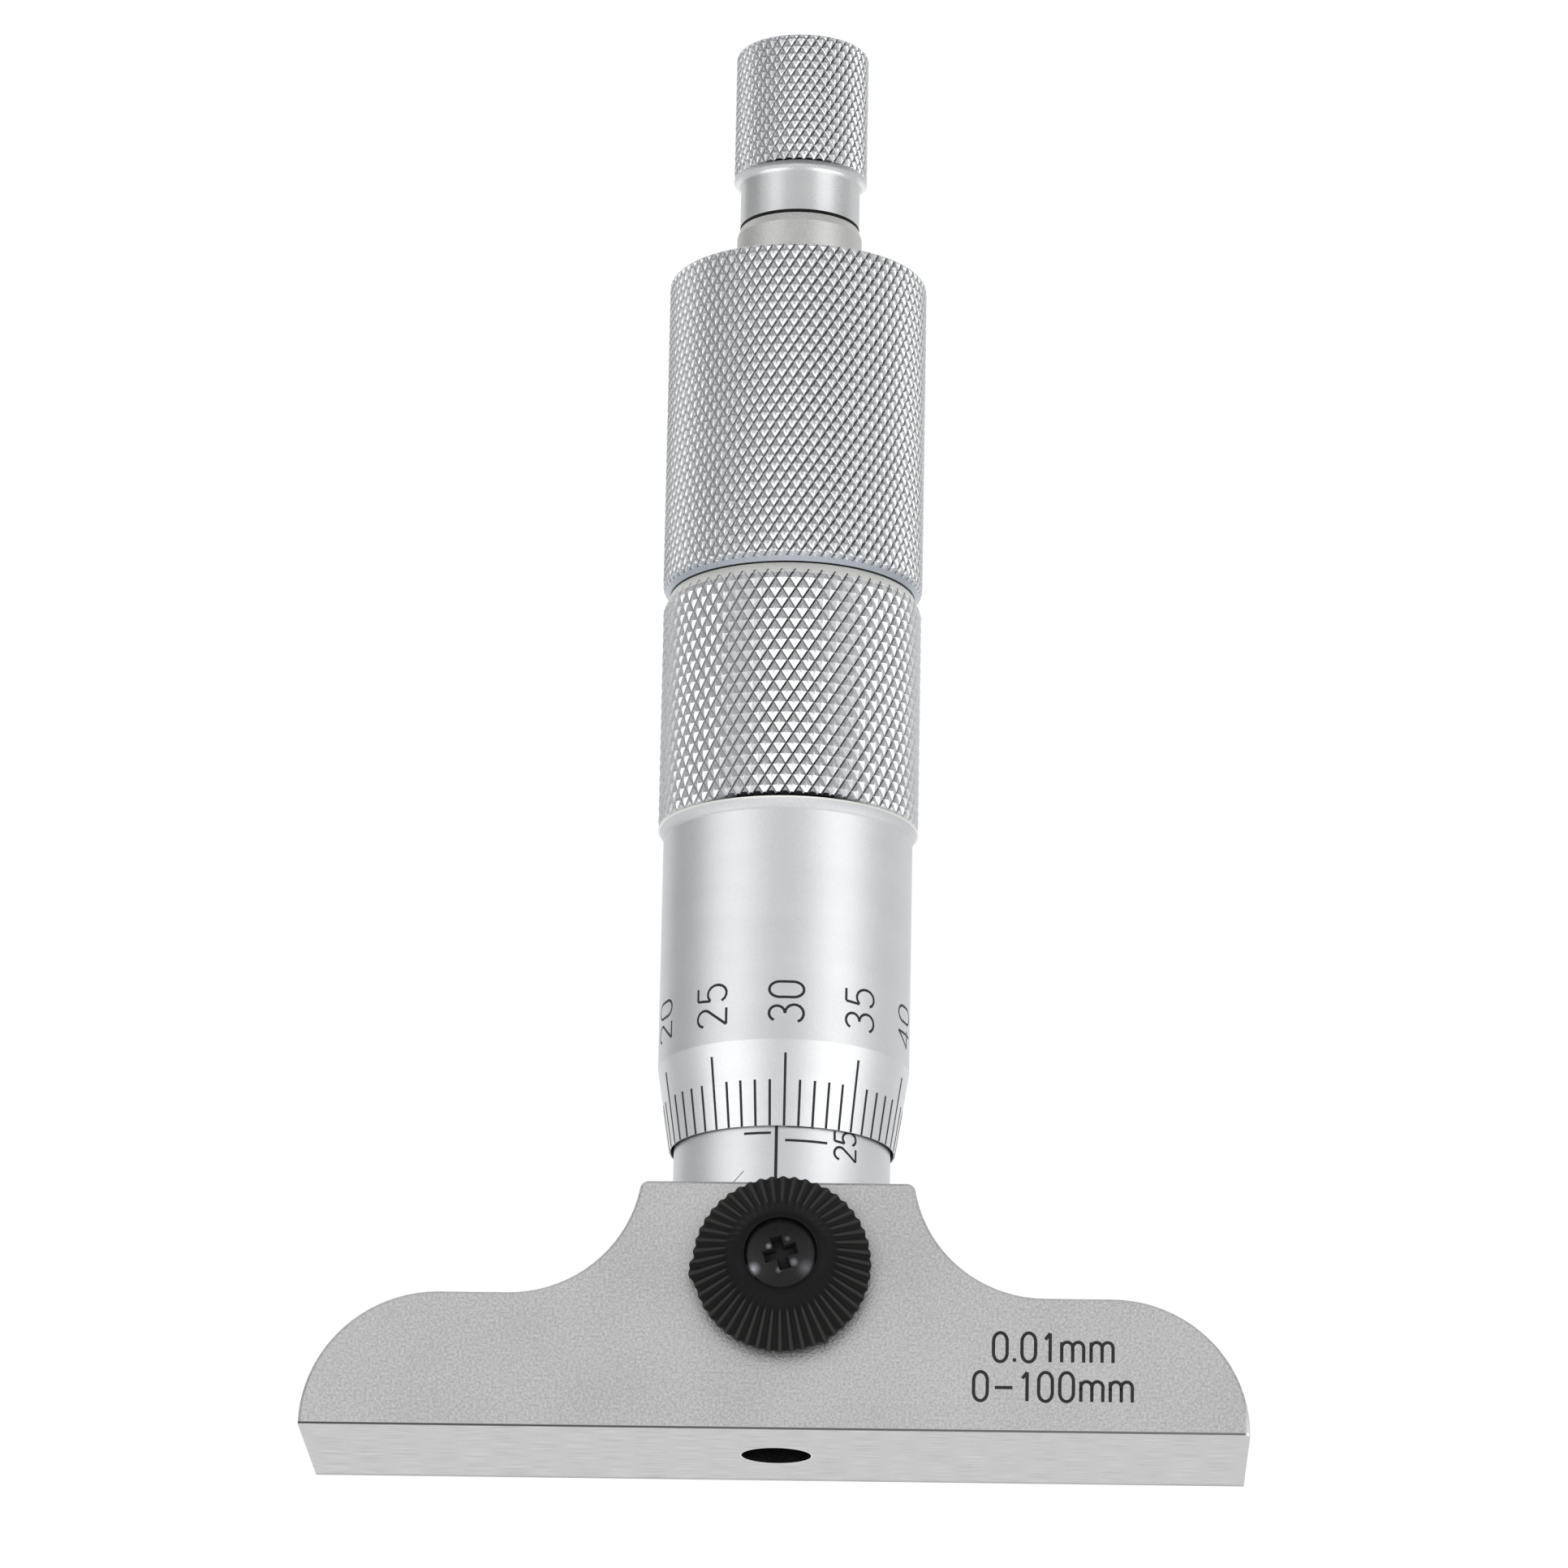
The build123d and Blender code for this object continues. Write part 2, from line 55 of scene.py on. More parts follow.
def computed(tree, operation, *values):
    """A Math node on sockets or plain numbers; returns the new socket."""
    node = tree.nodes.new("ShaderNodeMath")
    node.operation = operation
    for value, socket in zip(values, node.inputs):
        if isinstance(value, bpy.types.NodeSocket):
            tree.links.new(value, socket)
        else:
            socket.default_value = value
    return node.outputs[0]


def build_grain_group():
    """Fine grain for a surface, and a speckle of that grain with slow clouds."""
    group = bpy.data.node_groups.new("metal_grain", "ShaderNodeTree")
    group.interface.new_socket("Vector", in_out="INPUT", socket_type="NodeSocketVector")
    group.interface.new_socket("Scale", in_out="INPUT", socket_type="NodeSocketFloat")
    group.interface.new_socket("Grain", in_out="OUTPUT", socket_type="NodeSocketFloat")
    group.interface.new_socket("Speckle", in_out="OUTPUT", socket_type="NodeSocketFloat")
    entry = group.nodes.new("NodeGroupInput")
    leave = group.nodes.new("NodeGroupOutput")
    fine = entry.outputs["Scale"]
    coarse = computed(group, "MULTIPLY", fine, cloud_scale)
    speckle = group.nodes.new("ShaderNodeMix")
    speckle.inputs["Factor"].default_value = cloud_share
    for socket, detail, scale in (("A", 2.0, fine), ("B", 4.0, coarse)):
        noise = group.nodes.new("ShaderNodeTexNoise")
        noise.inputs["Detail"].default_value = detail
        group.links.new(entry.outputs["Vector"], noise.inputs["Vector"])
        group.links.new(scale, noise.inputs["Scale"])
        group.links.new(noise.outputs["Fac"], speckle.inputs[socket])
    group.links.new(speckle.inputs["A"].links[0].from_socket, leave.inputs["Grain"])
    group.links.new(speckle.outputs["Result"], leave.inputs["Speckle"])
    return group


grain_group = build_grain_group()


def build_reach_group():
    """The distance from the screw's upright axis."""
    group = bpy.data.node_groups.new("axis_reach", "ShaderNodeTree")
    group.interface.new_socket("Vector", in_out="INPUT", socket_type="NodeSocketVector")
    group.interface.new_socket("Reach", in_out="OUTPUT", socket_type="NodeSocketFloat")
    entry = group.nodes.new("NodeGroupInput")
    leave = group.nodes.new("NodeGroupOutput")
    flat = group.nodes.new("ShaderNodeVectorMath")
    flat.operation = "MULTIPLY"
    flat.inputs[1].default_value = (1, 1, 0)
    group.links.new(entry.outputs["Vector"], flat.inputs[0])
    reach = group.nodes.new("ShaderNodeVectorMath")
    reach.operation = "LENGTH"
    group.links.new(flat.outputs[0], reach.inputs[0])
    group.links.new(reach.outputs["Value"], leave.inputs["Reach"])
    return group


reach_group = build_reach_group()


def spread(tree, value, low, high, start=0.0, end=1.0):
    """Maps a value from start..end to low..high and returns the new socket."""
    node = tree.nodes.new("ShaderNodeMapRange")
    node.inputs["From Min"].default_value = start
    node.inputs["From Max"].default_value = end
    node.inputs["To Min"].default_value = low
    node.inputs["To Max"].default_value = high
    tree.links.new(value, node.inputs["Value"])
    return node.outputs["Result"]


def shades(tree, value, stops):
    """A colour ramp over a value, from (place, colour) stops."""
    node = tree.nodes.new("ShaderNodeValToRGB")
    ramp = node.color_ramp
    while len(ramp.elements) < len(stops):
        ramp.elements.new(0.5)
    for element, (place, colour) in zip(ramp.elements, stops):
        element.position = place
        element.color = (*colour, 1.0)
    tree.links.new(value, node.inputs["Fac"])
    return node.outputs["Color"]


def tinted(tree, colour, mask, tint):
    """Turns a colour into a tint, plain or from a socket, where a mask is 0; returns the new socket."""
    node = tree.nodes.new("ShaderNodeMix")
    node.data_type = "RGBA"
    first, second = [socket for socket in node.inputs if socket.type == "RGBA"]
    if isinstance(tint, bpy.types.NodeSocket):
        tree.links.new(tint, first)
    else:
        first.default_value = (*tint, 1)
    tree.links.new(mask, node.inputs["Factor"])
    tree.links.new(colour, second)
    return next(socket for socket in node.outputs if socket.type == "RGBA")


def axis_reach(tree):
    """The reach group on Object coordinates."""
    reach = tree.nodes.new("ShaderNodeGroup")
    reach.node_tree = reach_group
    tree.links.new(tree.nodes["Texture Coordinate"].outputs["Object"], reach.inputs["Vector"])
    return reach.outputs["Reach"]


def axes(tree):
    """The three Object coordinates, each as a socket."""
    node = tree.nodes.new("ShaderNodeSeparateXYZ")
    tree.links.new(tree.nodes["Texture Coordinate"].outputs["Object"], node.inputs[0])
    return node.outputs["X"], node.outputs["Y"], node.outputs["Z"]


def grained(tree, size, stretch=(1, 1, 1)):
    """The grain group on Object coordinates, for grains of a size in metres."""
    place = tree.nodes.new("ShaderNodeTexCoord")
    turn = tree.nodes.new("ShaderNodeMapping")
    turn.inputs["Scale"].default_value = stretch
    tree.links.new(place.outputs["Object"], turn.inputs["Vector"])
    grain = tree.nodes.new("ShaderNodeGroup")
    grain.node_tree = grain_group
    grain.inputs["Scale"].default_value = 1 / size
    tree.links.new(turn.outputs["Vector"], grain.inputs["Vector"])
    return grain.outputs


def finish(name, dark, light, roughness, grain_size, relief, stretch=(1, 1, 1), metallic=1.0, specular=0.5):
    """A surface in two close shades, speckled and slowly clouded, with grain in gloss and relief."""
    material = bpy.data.materials.new(name)
    material.use_nodes = True
    tree = material.node_tree
    shader = tree.nodes["Principled BSDF"]
    shader.inputs["Metallic"].default_value = metallic
    shader.inputs["Specular IOR Level"].default_value = specular
    grain = grained(tree, grain_size, stretch)
    colour = shades(tree, grain["Speckle"], [(0.38, dark), (0.62, light)])
    tree.links.new(colour, shader.inputs["Base Color"])
    gloss = spread(tree, grain["Grain"], roughness - 0.04, roughness + 0.04, 0.3, 0.7)
    tree.links.new(gloss, shader.inputs["Roughness"])
    bump = tree.nodes.new("ShaderNodeBump")
    bump.inputs["Distance"].default_value = relief
    tree.links.new(grain["Grain"], bump.inputs["Height"])
    tree.links.new(bump.outputs["Normal"], shader.inputs["Normal"])
    return material


rod_hole = 2.35 * mm
hole_rim = 2.47 * mm
base_edge = 0.18 * mm
edge_line_width = 0.02 * mm
rear_margin = 0.9 * mm
glint_width = 0.36 * mm
glint_height = 4.0 * mm
ground_grain = 0.12 * mm
base_steel = finish("base_steel", (0.385, 0.385, 0.386), (0.515, 0.515, 0.513), 0.42, 0.17 * mm, 0.02 * mm)
tree = base_steel.node_tree
base_colour = tree.nodes["Principled BSDF"].inputs["Base Color"]
x, y, z = axes(tree)
reach = axis_reach(tree)
ground = grained(tree, ground_grain, (0.05, 1, 1))["Grain"]
ground = shades(tree, ground, [(0.36, (0.40, 0.397, 0.404)), (0.64, (0.56, 0.555, 0.566))])
# Painted shade: the ground face is painted darker towards its rear edge.
rear_shade_mask = spread(tree, y, 1.0, 0.3, base_high.y - rear_margin, base_high.y)
ground = tinted(tree, ground, rear_shade_mask, (0.12, 0.12, 0.125))
# Painted highlight: a bright ring round the edge of the rod hole.
hole_highlight_mask = spread(tree, reach, 0.0, 1.0, 0.5 * (rod_hole + hole_rim), hole_rim)
ground = tinted(tree, ground, hole_highlight_mask, (0.8, 0.8, 0.79))
above = spread(tree, z, 0.0, 1.0, 0.01 * mm, 0.02 * mm)
steel = tinted(tree, base_colour.links[0].from_socket, above, ground)

# Painted shade on the broken lower edge: the chamfer is painted dull and darker, with a darker painted line
# along its middle that fades from left to right
apart = computed(tree, "ABSOLUTE", computed(tree, "SUBTRACT", z, base_edge / 2))
unshaded = spread(tree, apart, 0.0, 1.0, base_edge / 2 - edge_line_width, base_edge / 2)
steel = tinted(tree, steel, unshaded, (0.30, 0.30, 0.305))
faded = spread(tree, x, 0.0, 0.3, base_low.x, base_high.x)
beside = spread(tree, apart, 0.0, 1.0, edge_line_width, base_edge / 2)
steel = tinted(tree, steel, computed(tree, "MAXIMUM", faded, beside), (0.03, 0.03, 0.03))

# Painted highlight: a glint on the right end of the front edge near the foot, fading upwards
inwards = spread(tree, x, 1.0, 0.0, base_high.x - glint_width, base_high.x - 0.5 * glint_width)
behind = spread(tree, y, 0.0, 1.0, base_low.y + base_edge, base_low.y + 2 * base_edge)
upwards = spread(tree, z, 0.0, 1.0, 0.0, glint_height)
off_glint = computed(tree, "MAXIMUM", computed(tree, "MAXIMUM", inwards, behind), upwards)
steel = tinted(tree, steel, off_glint, (0.64, 0.64, 0.64))
# Painted shade: the bore of the rod hole is painted near black, to a hair beyond its edge.
bore_shade_mask = spread(tree, reach, 0.0, 1.0, rod_hole, 1.02 * rod_hole)
steel = tinted(tree, steel, bore_shade_mask, (0.02, 0.02, 0.02))
tree.links.new(steel, base_colour)
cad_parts["base_block"].data.materials[0] = base_steel


# Range and reading marks: cut by a single-line engraving tool on the right of the front and
# filled with black lacquer, which stands a hair above the steel.
cap_height = 1.98 * mm
stroke_width = 0.23 * mm
letter_gap = 0.25
lacquer_rise = 0.012 * mm
mark_middle = 18.6 * mm
weld = 0.5e-6


def bow(x, y, reach_x, reach_y, start, end, steps=12):
    """Points along part of an ellipse round x, y, between two angles in degrees."""
    turns = [radians(start + (end - start) * i / steps) for i in range(steps + 1)]
    return [(x + reach_x * cos(t), y + reach_y * sin(t)) for t in turns]


# Single-line letters for a cap height of 1: the width, then the strokes
letters = {
    "0": (0.46, [
        bow(0.23, 0.7, 0.23, 0.3, 0, 180) + bow(0.23, 0.3, 0.23, 0.3, 180, 360) + [(0.46, 0.7)],
    ]),
    "1": (0.38, [[(0.08, 0.78), (0.24, 1.0)], [(0.24, 1.0), (0.24, 0.0)]]),
    "2": (0.5, [bow(0.25, 0.75, 0.24, 0.25, 172, -35) + [(0.01, 0.0)], [(0.01, 0.0), (0.5, 0.0)]]),
    "3": (0.5, [bow(0.23, 0.77, 0.22, 0.23, 158, -90), bow(0.23, 0.27, 0.26, 0.27, 90, -158)]),
    "4": (0.52, [[(0.4, 0.0), (0.4, 1.0)], [(0.4, 1.0), (0.01, 0.3)], [(0.01, 0.3), (0.52, 0.3)]]),
    "5": (0.5, [
        [(0.45, 1.0), (0.08, 1.0)],
        [(0.08, 1.0), (0.04, 0.55)],
        [(0.04, 0.55)] + bow(0.24, 0.32, 0.26, 0.32, 130, -150),
    ]),
    ".": (0.0, [[(0.0, 0.0), (0.0, 0.12)]]),
    "-": (0.6, [[(0.0, 0.46), (0.6, 0.46)]]),
    "m": (0.74, [
        [(0.0, 0.0), (0.0, 0.7)],
        [(0.0, 0.4)] + bow(0.185, 0.5, 0.185, 0.2, 180, 0) + [(0.37, 0.0)],
        [(0.37, 0.4)] + bow(0.555, 0.5, 0.185, 0.2, 180, 0) + [(0.74, 0.0)],
    ]),
}


def cut_strokes(strokes, width):
    """Flat round-ended strokes through points in metres, as a bmesh that faces +Z."""
    curve = bpy.data.curves.new("strokes", "CURVE")
    curve.dimensions = "3D"
    curve.bevel_depth = width / 2
    curve.bevel_resolution = 2
    curve.use_fill_caps = True
    for points in strokes:
        spline = curve.splines.new("POLY")
        spline.points.add(len(points) - 1)
        for point, (x, y) in zip(spline.points, points):
            point.co = (x, y, 0, 1)
    holder = bpy.data.objects.new("strokes", curve)
    mesh = bpy.data.meshes.new_from_object(holder)
    bm = bmesh.new()
    bm.from_mesh(mesh)
    bpy.data.objects.remove(holder)
    bpy.data.curves.remove(curve)
    bpy.data.meshes.remove(mesh)
    bmesh.ops.remove_doubles(bm, verts=bm.verts, dist=weld)
    bmesh.ops.scale(bm, vec=(1, 1, 2 * lacquer_rise / width), verts=bm.verts)
    return bm


def engraved(text, height, width, gap):
    """A line of lettering centred on the origin, as a bmesh that faces +Z."""
    along = -(sum(letters[c][0] for c in text) + gap * (len(text) - 1)) / 2
    lines = []
    for c in text:
        advance, strokes = letters[c]
        for points in strokes:
            lines.append([((along + x) * height, (y - 0.5) * height) for x, y in points])
        along += advance + gap
    return cut_strokes(lines, width)


def face_outwards(bm):
    """Turns the faces of each shell outwards, judged by the volume that the shell encloses."""
    bmesh.ops.recalc_face_normals(bm, faces=bm.faces)
    unseen = set(bm.faces)
    while unseen:
        shell = [unseen.pop()]
        for face in shell:
            for edge in face.edges:
                beyond = unseen.intersection(edge.link_faces)
                shell.extend(beyond)
                unseen -= beyond
        start = shell[0].verts[0].co
        parts = [(f.calc_center_median() - start).dot(f.normal) * f.calc_area() for f in shell]
        if sum(parts) < 0:
            bmesh.ops.reverse_faces(bm, faces=shell)


def finished(name, bm, material, body, smooth_angle=35):
    """Turns a bmesh into a piece that rides on a body, smooth up to an angle."""
    face_outwards(bm)
    mesh = bpy.data.meshes.new(name)
    bm.to_mesh(mesh)
    bm.free()
    mesh.shade_smooth()
    mesh.set_sharp_from_angle(angle=radians(smooth_angle))
    mesh.materials.append(material)
    piece = bpy.data.objects.new(name, mesh)
    bpy.context.scene.collection.objects.link(piece)
    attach(piece, body)
    return piece


black_fill = finish(
    "black_fill", (0.010, 0.010, 0.011), (0.022, 0.022, 0.023), 0.55, 0.1 * mm, 0.003 * mm,
    metallic=0.0, specular=0.25,
)

for name, text, level in (("reading_mark", "0.01mm", 5.8 * mm), ("range_mark", "0-100mm", 3.12 * mm)):
    bm = engraved(text, cap_height, stroke_width, letter_gap)
    upright = Matrix.Translation((mark_middle, base_low.y, level)) @ Matrix.Rotation(pi / 2, 4, "X")
    bmesh.ops.transform(bm, matrix=upright, verts=bm.verts)
    finished(name, bm, black_fill, "base")


# Inner sleeve and adjusting nut: turned steel, pressed into the base and out of sight
# under the graduated sleeve. The nut closes the slotted collet on the spindle's thread.
plain_steel = finish(
    "plain_steel", (0.40, 0.40, 0.40), (0.47, 0.47, 0.46), 0.32, 0.12 * mm, 0.010 * mm, (1, 1, 6)
)
for node in ("inner_sleeve", "adjusting_nut"):
    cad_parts[node].data.materials[0] = plain_steel


# Graduated sleeve: a thin steel tube, satin chrome plated, that turns on the inner sleeve
# to set zero. Its index line, millimetre lines and numbers are engraved and filled with black,
# and one fine scratch crosses it near the base.
chrome_dark = (0.515, 0.52, 0.53)
chrome_light = (0.585, 0.59, 0.60)
chrome_roughness = 0.38
satin_chrome = finish(
    "satin_chrome", chrome_dark, chrome_light, chrome_roughness, 0.1 * mm, 0.008 * mm, (1, 1, 3)
)
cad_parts["graduated_sleeve"].data.materials[0] = satin_chrome
sleeve_low, sleeve_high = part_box("graduated_sleeve")
sleeve_radius = sleeve_high.x
zero_height = 45.07 * mm
index_turn = -1.4
index_width = 0.21 * mm
line_width = 0.17 * mm
line_depth = 0.04 * mm
scale_length = 25
half_lines = (-17.3, -2.9)
short_lines = (4.6, 20.0)
long_lines = (4.6, 27.4)
half_step = 0.5 * mm
number_turn = 38.5
sleeve_lettering = {"height": 1.77 * mm, "width": 0.18 * mm, "gap": 0.13}


def ring_mark(bm, radius, height, start, end, width):
    """One filled line round a cylinder, between two angles in degrees from the front to the right."""
    corners = [
        bm.verts.new((0, -radius - lift, height + side))
        for lift, side in (
            (-line_depth, -width / 2),
            (lacquer_rise, -width / 2),
            (lacquer_rise, width / 2),
            (-line_depth, width / 2),
        )
    ]
    outline = [bm.edges.new((corners[i - 1], corners[i])) for i in range(4)]
    bmesh.ops.rotate(bm, cent=(0, 0, 0), matrix=Matrix.Rotation(radians(start), 3, "Z"), verts=corners)
    bmesh.ops.spin(
        bm, geom=corners + outline, cent=(0, 0, 0), axis=(0, 0, 1),
        angle=radians(end - start), steps=ceil((end - start) / 3),
    )


def upright_mark(bm, radius, low, high, angle, width, lean=0.0):
    """One filled line up a cylinder, or up a cone that leans outwards, at an angle from the front."""
    rise = (lacquer_rise - line_depth) / 2
    size = Matrix.Diagonal((width, lacquer_rise + line_depth, (high - low) / cos(lean), 1))
    tilt = Matrix.Rotation(lean, 4, "X")
    stand = Matrix.Translation((0, -radius - rise, (low + high) / 2))
    bmesh.ops.create_cube(bm, size=1, matrix=Matrix.Rotation(angle, 4, "Z") @ stand @ tilt @ size)


def everything(bm):
    """All that a bmesh holds."""
    return bm.verts[:] + bm.edges[:] + bm.faces[:]


def wrapped(bm, radius, angle, height):
    """Stands flat lettering on end, reading upwards, and bends it round a cylinder."""
    reach = max(vert.co.y for vert in bm.verts)
    cuts = 10
    for i in range(1, cuts):
        level = reach * (2 * i / cuts - 1)
        bmesh.ops.bisect_plane(bm, geom=everything(bm), plane_co=(0, level, 0), plane_no=(0, 1, 0))
    for vert in bm.verts:
        turn = angle - vert.co.y / radius
        out = radius + vert.co.z
        vert.co = (out * sin(turn), -out * cos(turn), height + vert.co.x)


bm = bmesh.new()
upright_mark(bm, sleeve_radius, sleeve_low.z, sleeve_high.z, radians(index_turn), index_width)
for half in range(2 * scale_length + 1):
    height = zero_height - half * half_step
    if half % 2:
        start, end = half_lines
    elif half % 10:
        start, end = short_lines
    else:
        start, end = long_lines
    ring_mark(bm, sleeve_radius, height, index_turn + start, index_turn + end, line_width)
bmesh.ops.holes_fill(bm, edges=bm.edges, sides=4)
finished("sleeve_scale", bm, black_fill, "sleeve")

for number in range(0, scale_length + 1, 5):
    bm = engraved(str(number), **sleeve_lettering)
    wrapped(bm, sleeve_radius, radians(index_turn + number_turn), zero_height - number * mm)
    finished(f"sleeve_number_{number}", bm, black_fill, "sleeve")

scratch_reach = 0.4 * mm
scratch_width = 0.05 * mm
scratch_turn = -21.5
scratch_level = sleeve_low.z + 0.55 * mm
bm = cut_strokes([[(-scratch_reach, scratch_reach), (scratch_reach, -scratch_reach)]], scratch_width)
wrapped(bm, sleeve_radius, radians(scratch_turn), scratch_level)
finished("sleeve_scratch", bm, black_fill, "sleeve")


# Spindle: the hollow measuring screw that takes the rods from above.
# It is ground from one bar of steel and runs hidden in the head.
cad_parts["spindle"].data.materials[0] = plain_steel


# Thimble: a deep steel cup turned with a bevel for its 50-line scale, diamond knurled above
# and satin chrome plated. One turn moves the screw by half a millimetre.
thimble_low, thimble_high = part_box("thimble")
thimble_crest = thimble_high.x
thimble_knurl = 0.24 * mm
thimble_teeth = 59
thimble_plain = 8.6 * mm
thimble_rim = 7.7 * mm
thimble_bore = sleeve_radius + 0.22 * mm
thimble_edge = 0.5 * mm
thimble_band = 0.6 * mm
thimble_flare = 0.8 * mm
thimble_cut = 0.42 * mm
hub_bore = 4.51 * mm
flange_seat = 6.41 * mm
ceiling = thimble_low.z + 30.7 * mm
cone_low = ceiling + 1.11 * mm
cone_high = cone_low + 1.9 * mm
bevel_top = thimble_low.z + 5.8 * mm
knurl_low = thimble_low.z + 22.88 * mm
knurl_slant = radians(32)
groove_half = 0.03 * mm
groove_wall = 0.06 * mm
flank_share = 0.72
wall_rise = 0.45
flank_rise = 0.43
point_rise = 0.12
ease_length = 0.2 * mm
ease_slope = 1.2
relief_height = 0.04 * mm


def verts_of(geom):
    """The vertices among what an operator returns."""
    return [item for item in geom if isinstance(item, bmesh.types.BMVert)]


def rolled_knurl(crest, depth, low, high, around):
    """A tube of diamond pyramids between two heights; the grooves that lean right are marked."""
    bm = bmesh.new()
    step = 2 * pi / around
    root = crest - depth
    half_width = root * step / 2
    half_height = half_width / tan(knurl_slant)
    corners = [(-step / 2, 0), (0, -half_height), (step / 2, 0), (0, half_height)]
    tooth = bm.faces.new(
        [bm.verts.new((root * sin(turn), -root * cos(turn), low + rise)) for turn, rise in corners]
    )
    flank = flank_share * (half_width * cos(knurl_slant) - groove_half - groove_wall)
    for width, rise in ((groove_half, 0.0), (groove_wall, wall_rise), (flank, flank_rise)):
        bmesh.ops.inset_individual(
            bm, faces=[tooth], thickness=width, depth=rise * depth, use_even_offset=True
        )
    bmesh.ops.poke(bm, faces=[tooth], offset=point_rise * depth)
    leaning = bm.faces.layers.float.new("leaning")
    for face in bm.faces:
        middle = face.calc_center_median()
        face[leaning] = 1.0 if middle.x * (middle.z - low) < 0 else 0.0
        face.material_index = 1
    twin = verts_of(bmesh.ops.duplicate(bm, geom=everything(bm))["geom"])
    bmesh.ops.rotate(bm, cent=(0, 0, 0), matrix=Matrix.Rotation(step / 2, 3, "Z"), verts=twin)
    bmesh.ops.translate(bm, vec=(0, 0, half_height), verts=twin)
    pair = everything(bm)
    for row in range(1, ceil((high - low) / (2 * half_height)) + 1):
        copy = verts_of(bmesh.ops.duplicate(bm, geom=pair)["geom"])
        bmesh.ops.translate(bm, vec=(0, 0, 2 * half_height * row), verts=copy)
    bmesh.ops.spin(
        bm, geom=everything(bm), cent=(0, 0, 0), axis=(0, 0, 1),
        angle=2 * pi - step, steps=around - 1, use_duplicate=True,
    )
    bmesh.ops.remove_doubles(bm, verts=bm.verts, dist=weld)
    for height, side in ((low, -1), (high, 1)):
        bmesh.ops.bisect_plane(
            bm, geom=everything(bm), dist=weld / 10,
            plane_co=(0, 0, height), plane_no=(0, 0, side), clear_outer=True,
        )
    return bm


def turned_edge(bm, height, radius, length, slope, finish_index=0, whole=True):
    """Turns a cone off the end of a knurl, and gives a finish to faces wholly or partly on it."""
    towards = 1 if length > 0 else -1
    cuts = 6
    for i in range(1, cuts + 1):
        level = height + length * i / cuts
        bmesh.ops.bisect_plane(
            bm, geom=everything(bm), dist=weld / 10, plane_co=(0, 0, level), plane_no=(0, 0, 1)
        )
    cut = set()
    for vert in bm.verts:
        limit = radius + max(0.0, (vert.co.z - height) * towards) * slope
        reach = vert.co.xy.length
        if reach > limit - weld:
            vert.co.xy *= limit / reach
            cut.add(vert)
    for face in bm.faces:
        if cut.issuperset(face.verts) or not (whole or cut.isdisjoint(face.verts)):
            face.material_index = finish_index


def banded_edge(bm, height, radius, root, band, finish_index):
    """Turns a smooth band at the end of a knurl, from a radius up to its root, and eases in the teeth."""
    towards = 1 if band > 0 else -1
    turned_edge(bm, height + band, root, towards * ease_length, ease_slope)
    turned_edge(bm, height, radius, band, (root - radius) / abs(band), finish_index)


def open_ring(bm, height):
    """The edges of an open end at a height."""
    return [
        edge for edge in bm.edges
        if edge.is_boundary and all(abs(vert.co.z - height) < weld for vert in edge.verts)
    ]


def turned_on(bm, ring, profile, finish_index=0):
    """Carries an open ring on along a turned profile of (radius, height) points; returns its end."""
    for radius, height in profile:
        grown = bmesh.ops.extrude_edge_only(bm, edges=ring)["geom"]
        for vert in verts_of(grown):
            vert.co.xy *= radius / vert.co.xy.length
            vert.co.z = height
            for face in vert.link_faces:
                face.material_index = finish_index
        ring = [e for e in grown if isinstance(e, bmesh.types.BMEdge) and e.is_boundary]
    return ring


def hollow_curve(outer, height, inner, length, steps=6):
    """Points down a hollow curve, from an outer radius at a height to run straight at an inner one."""
    rise = outer - inner
    bend = (length ** 2 + rise ** 2) / (2 * rise)
    turns = [asin(length / bend) * (1 - i / steps) for i in range(steps + 1)]
    return [(inner + bend * (1 - cos(t)), height - length + bend * sin(t)) for t in turns]


def knurl_foot(bm, height, root, crest, plain, length, cut):
    """Ends a knurl below in a narrow groove in painted shade at the front, a lip and a hollow curve down to
    a plain radius.
    """
    start = height + relief_height
    turned_edge(bm, start, root, cut, (crest - root) / cut, finish_index=2, whole=False)
    curve = hollow_curve(crest, height, plain, length)
    ring = turned_on(bm, open_ring(bm, start), [(root, start), (root, height), (crest, height)], 2)
    ring = turned_on(bm, ring, curve[1:2], 3)
    return turned_on(bm, ring, curve[2:], 4)


def build_groove_group():
    """A mask that is 0 at the bottom of a knurl's marked grooves and 1 above a level in them."""
    group = bpy.data.node_groups.new("groove_shade", "ShaderNodeTree")
    for name in ("Reach", "Root", "Level"):
        group.interface.new_socket(name, in_out="INPUT", socket_type="NodeSocketFloat")
    group.interface.new_socket("Unshaded", in_out="OUTPUT", socket_type="NodeSocketFloat")
    entry = group.nodes.new("NodeGroupInput")
    leave = group.nodes.new("NodeGroupOutput")
    groove = group.nodes.new("ShaderNodeAttribute")
    groove.attribute_name = "leaning"
    high = group.nodes.new("ShaderNodeMapRange")
    group.links.new(entry.outputs["Reach"], high.inputs["Value"])
    group.links.new(entry.outputs["Root"], high.inputs["From Min"])
    group.links.new(entry.outputs["Level"], high.inputs["From Max"])
    unmarked = spread(group, groove.outputs["Fac"], 1.0, 0.0)
    unshaded = computed(group, "MAXIMUM", high.outputs["Result"], unmarked)
    group.links.new(unshaded, leave.inputs["Unshaded"])
    return group


groove_group = build_groove_group()


def marked(material, mask, tint):
    """Tints a finish where a mask is 0."""
    tree = material.node_tree
    colour = tree.nodes["Principled BSDF"].inputs["Base Color"]
    tree.links.new(tinted(tree, colour.links[0].from_socket, mask, tint), colour)


# Painted shade: the bottoms of the knurl grooves that lean one way are painted dark.
groove_shade_tint = (0.10, 0.105, 0.115)
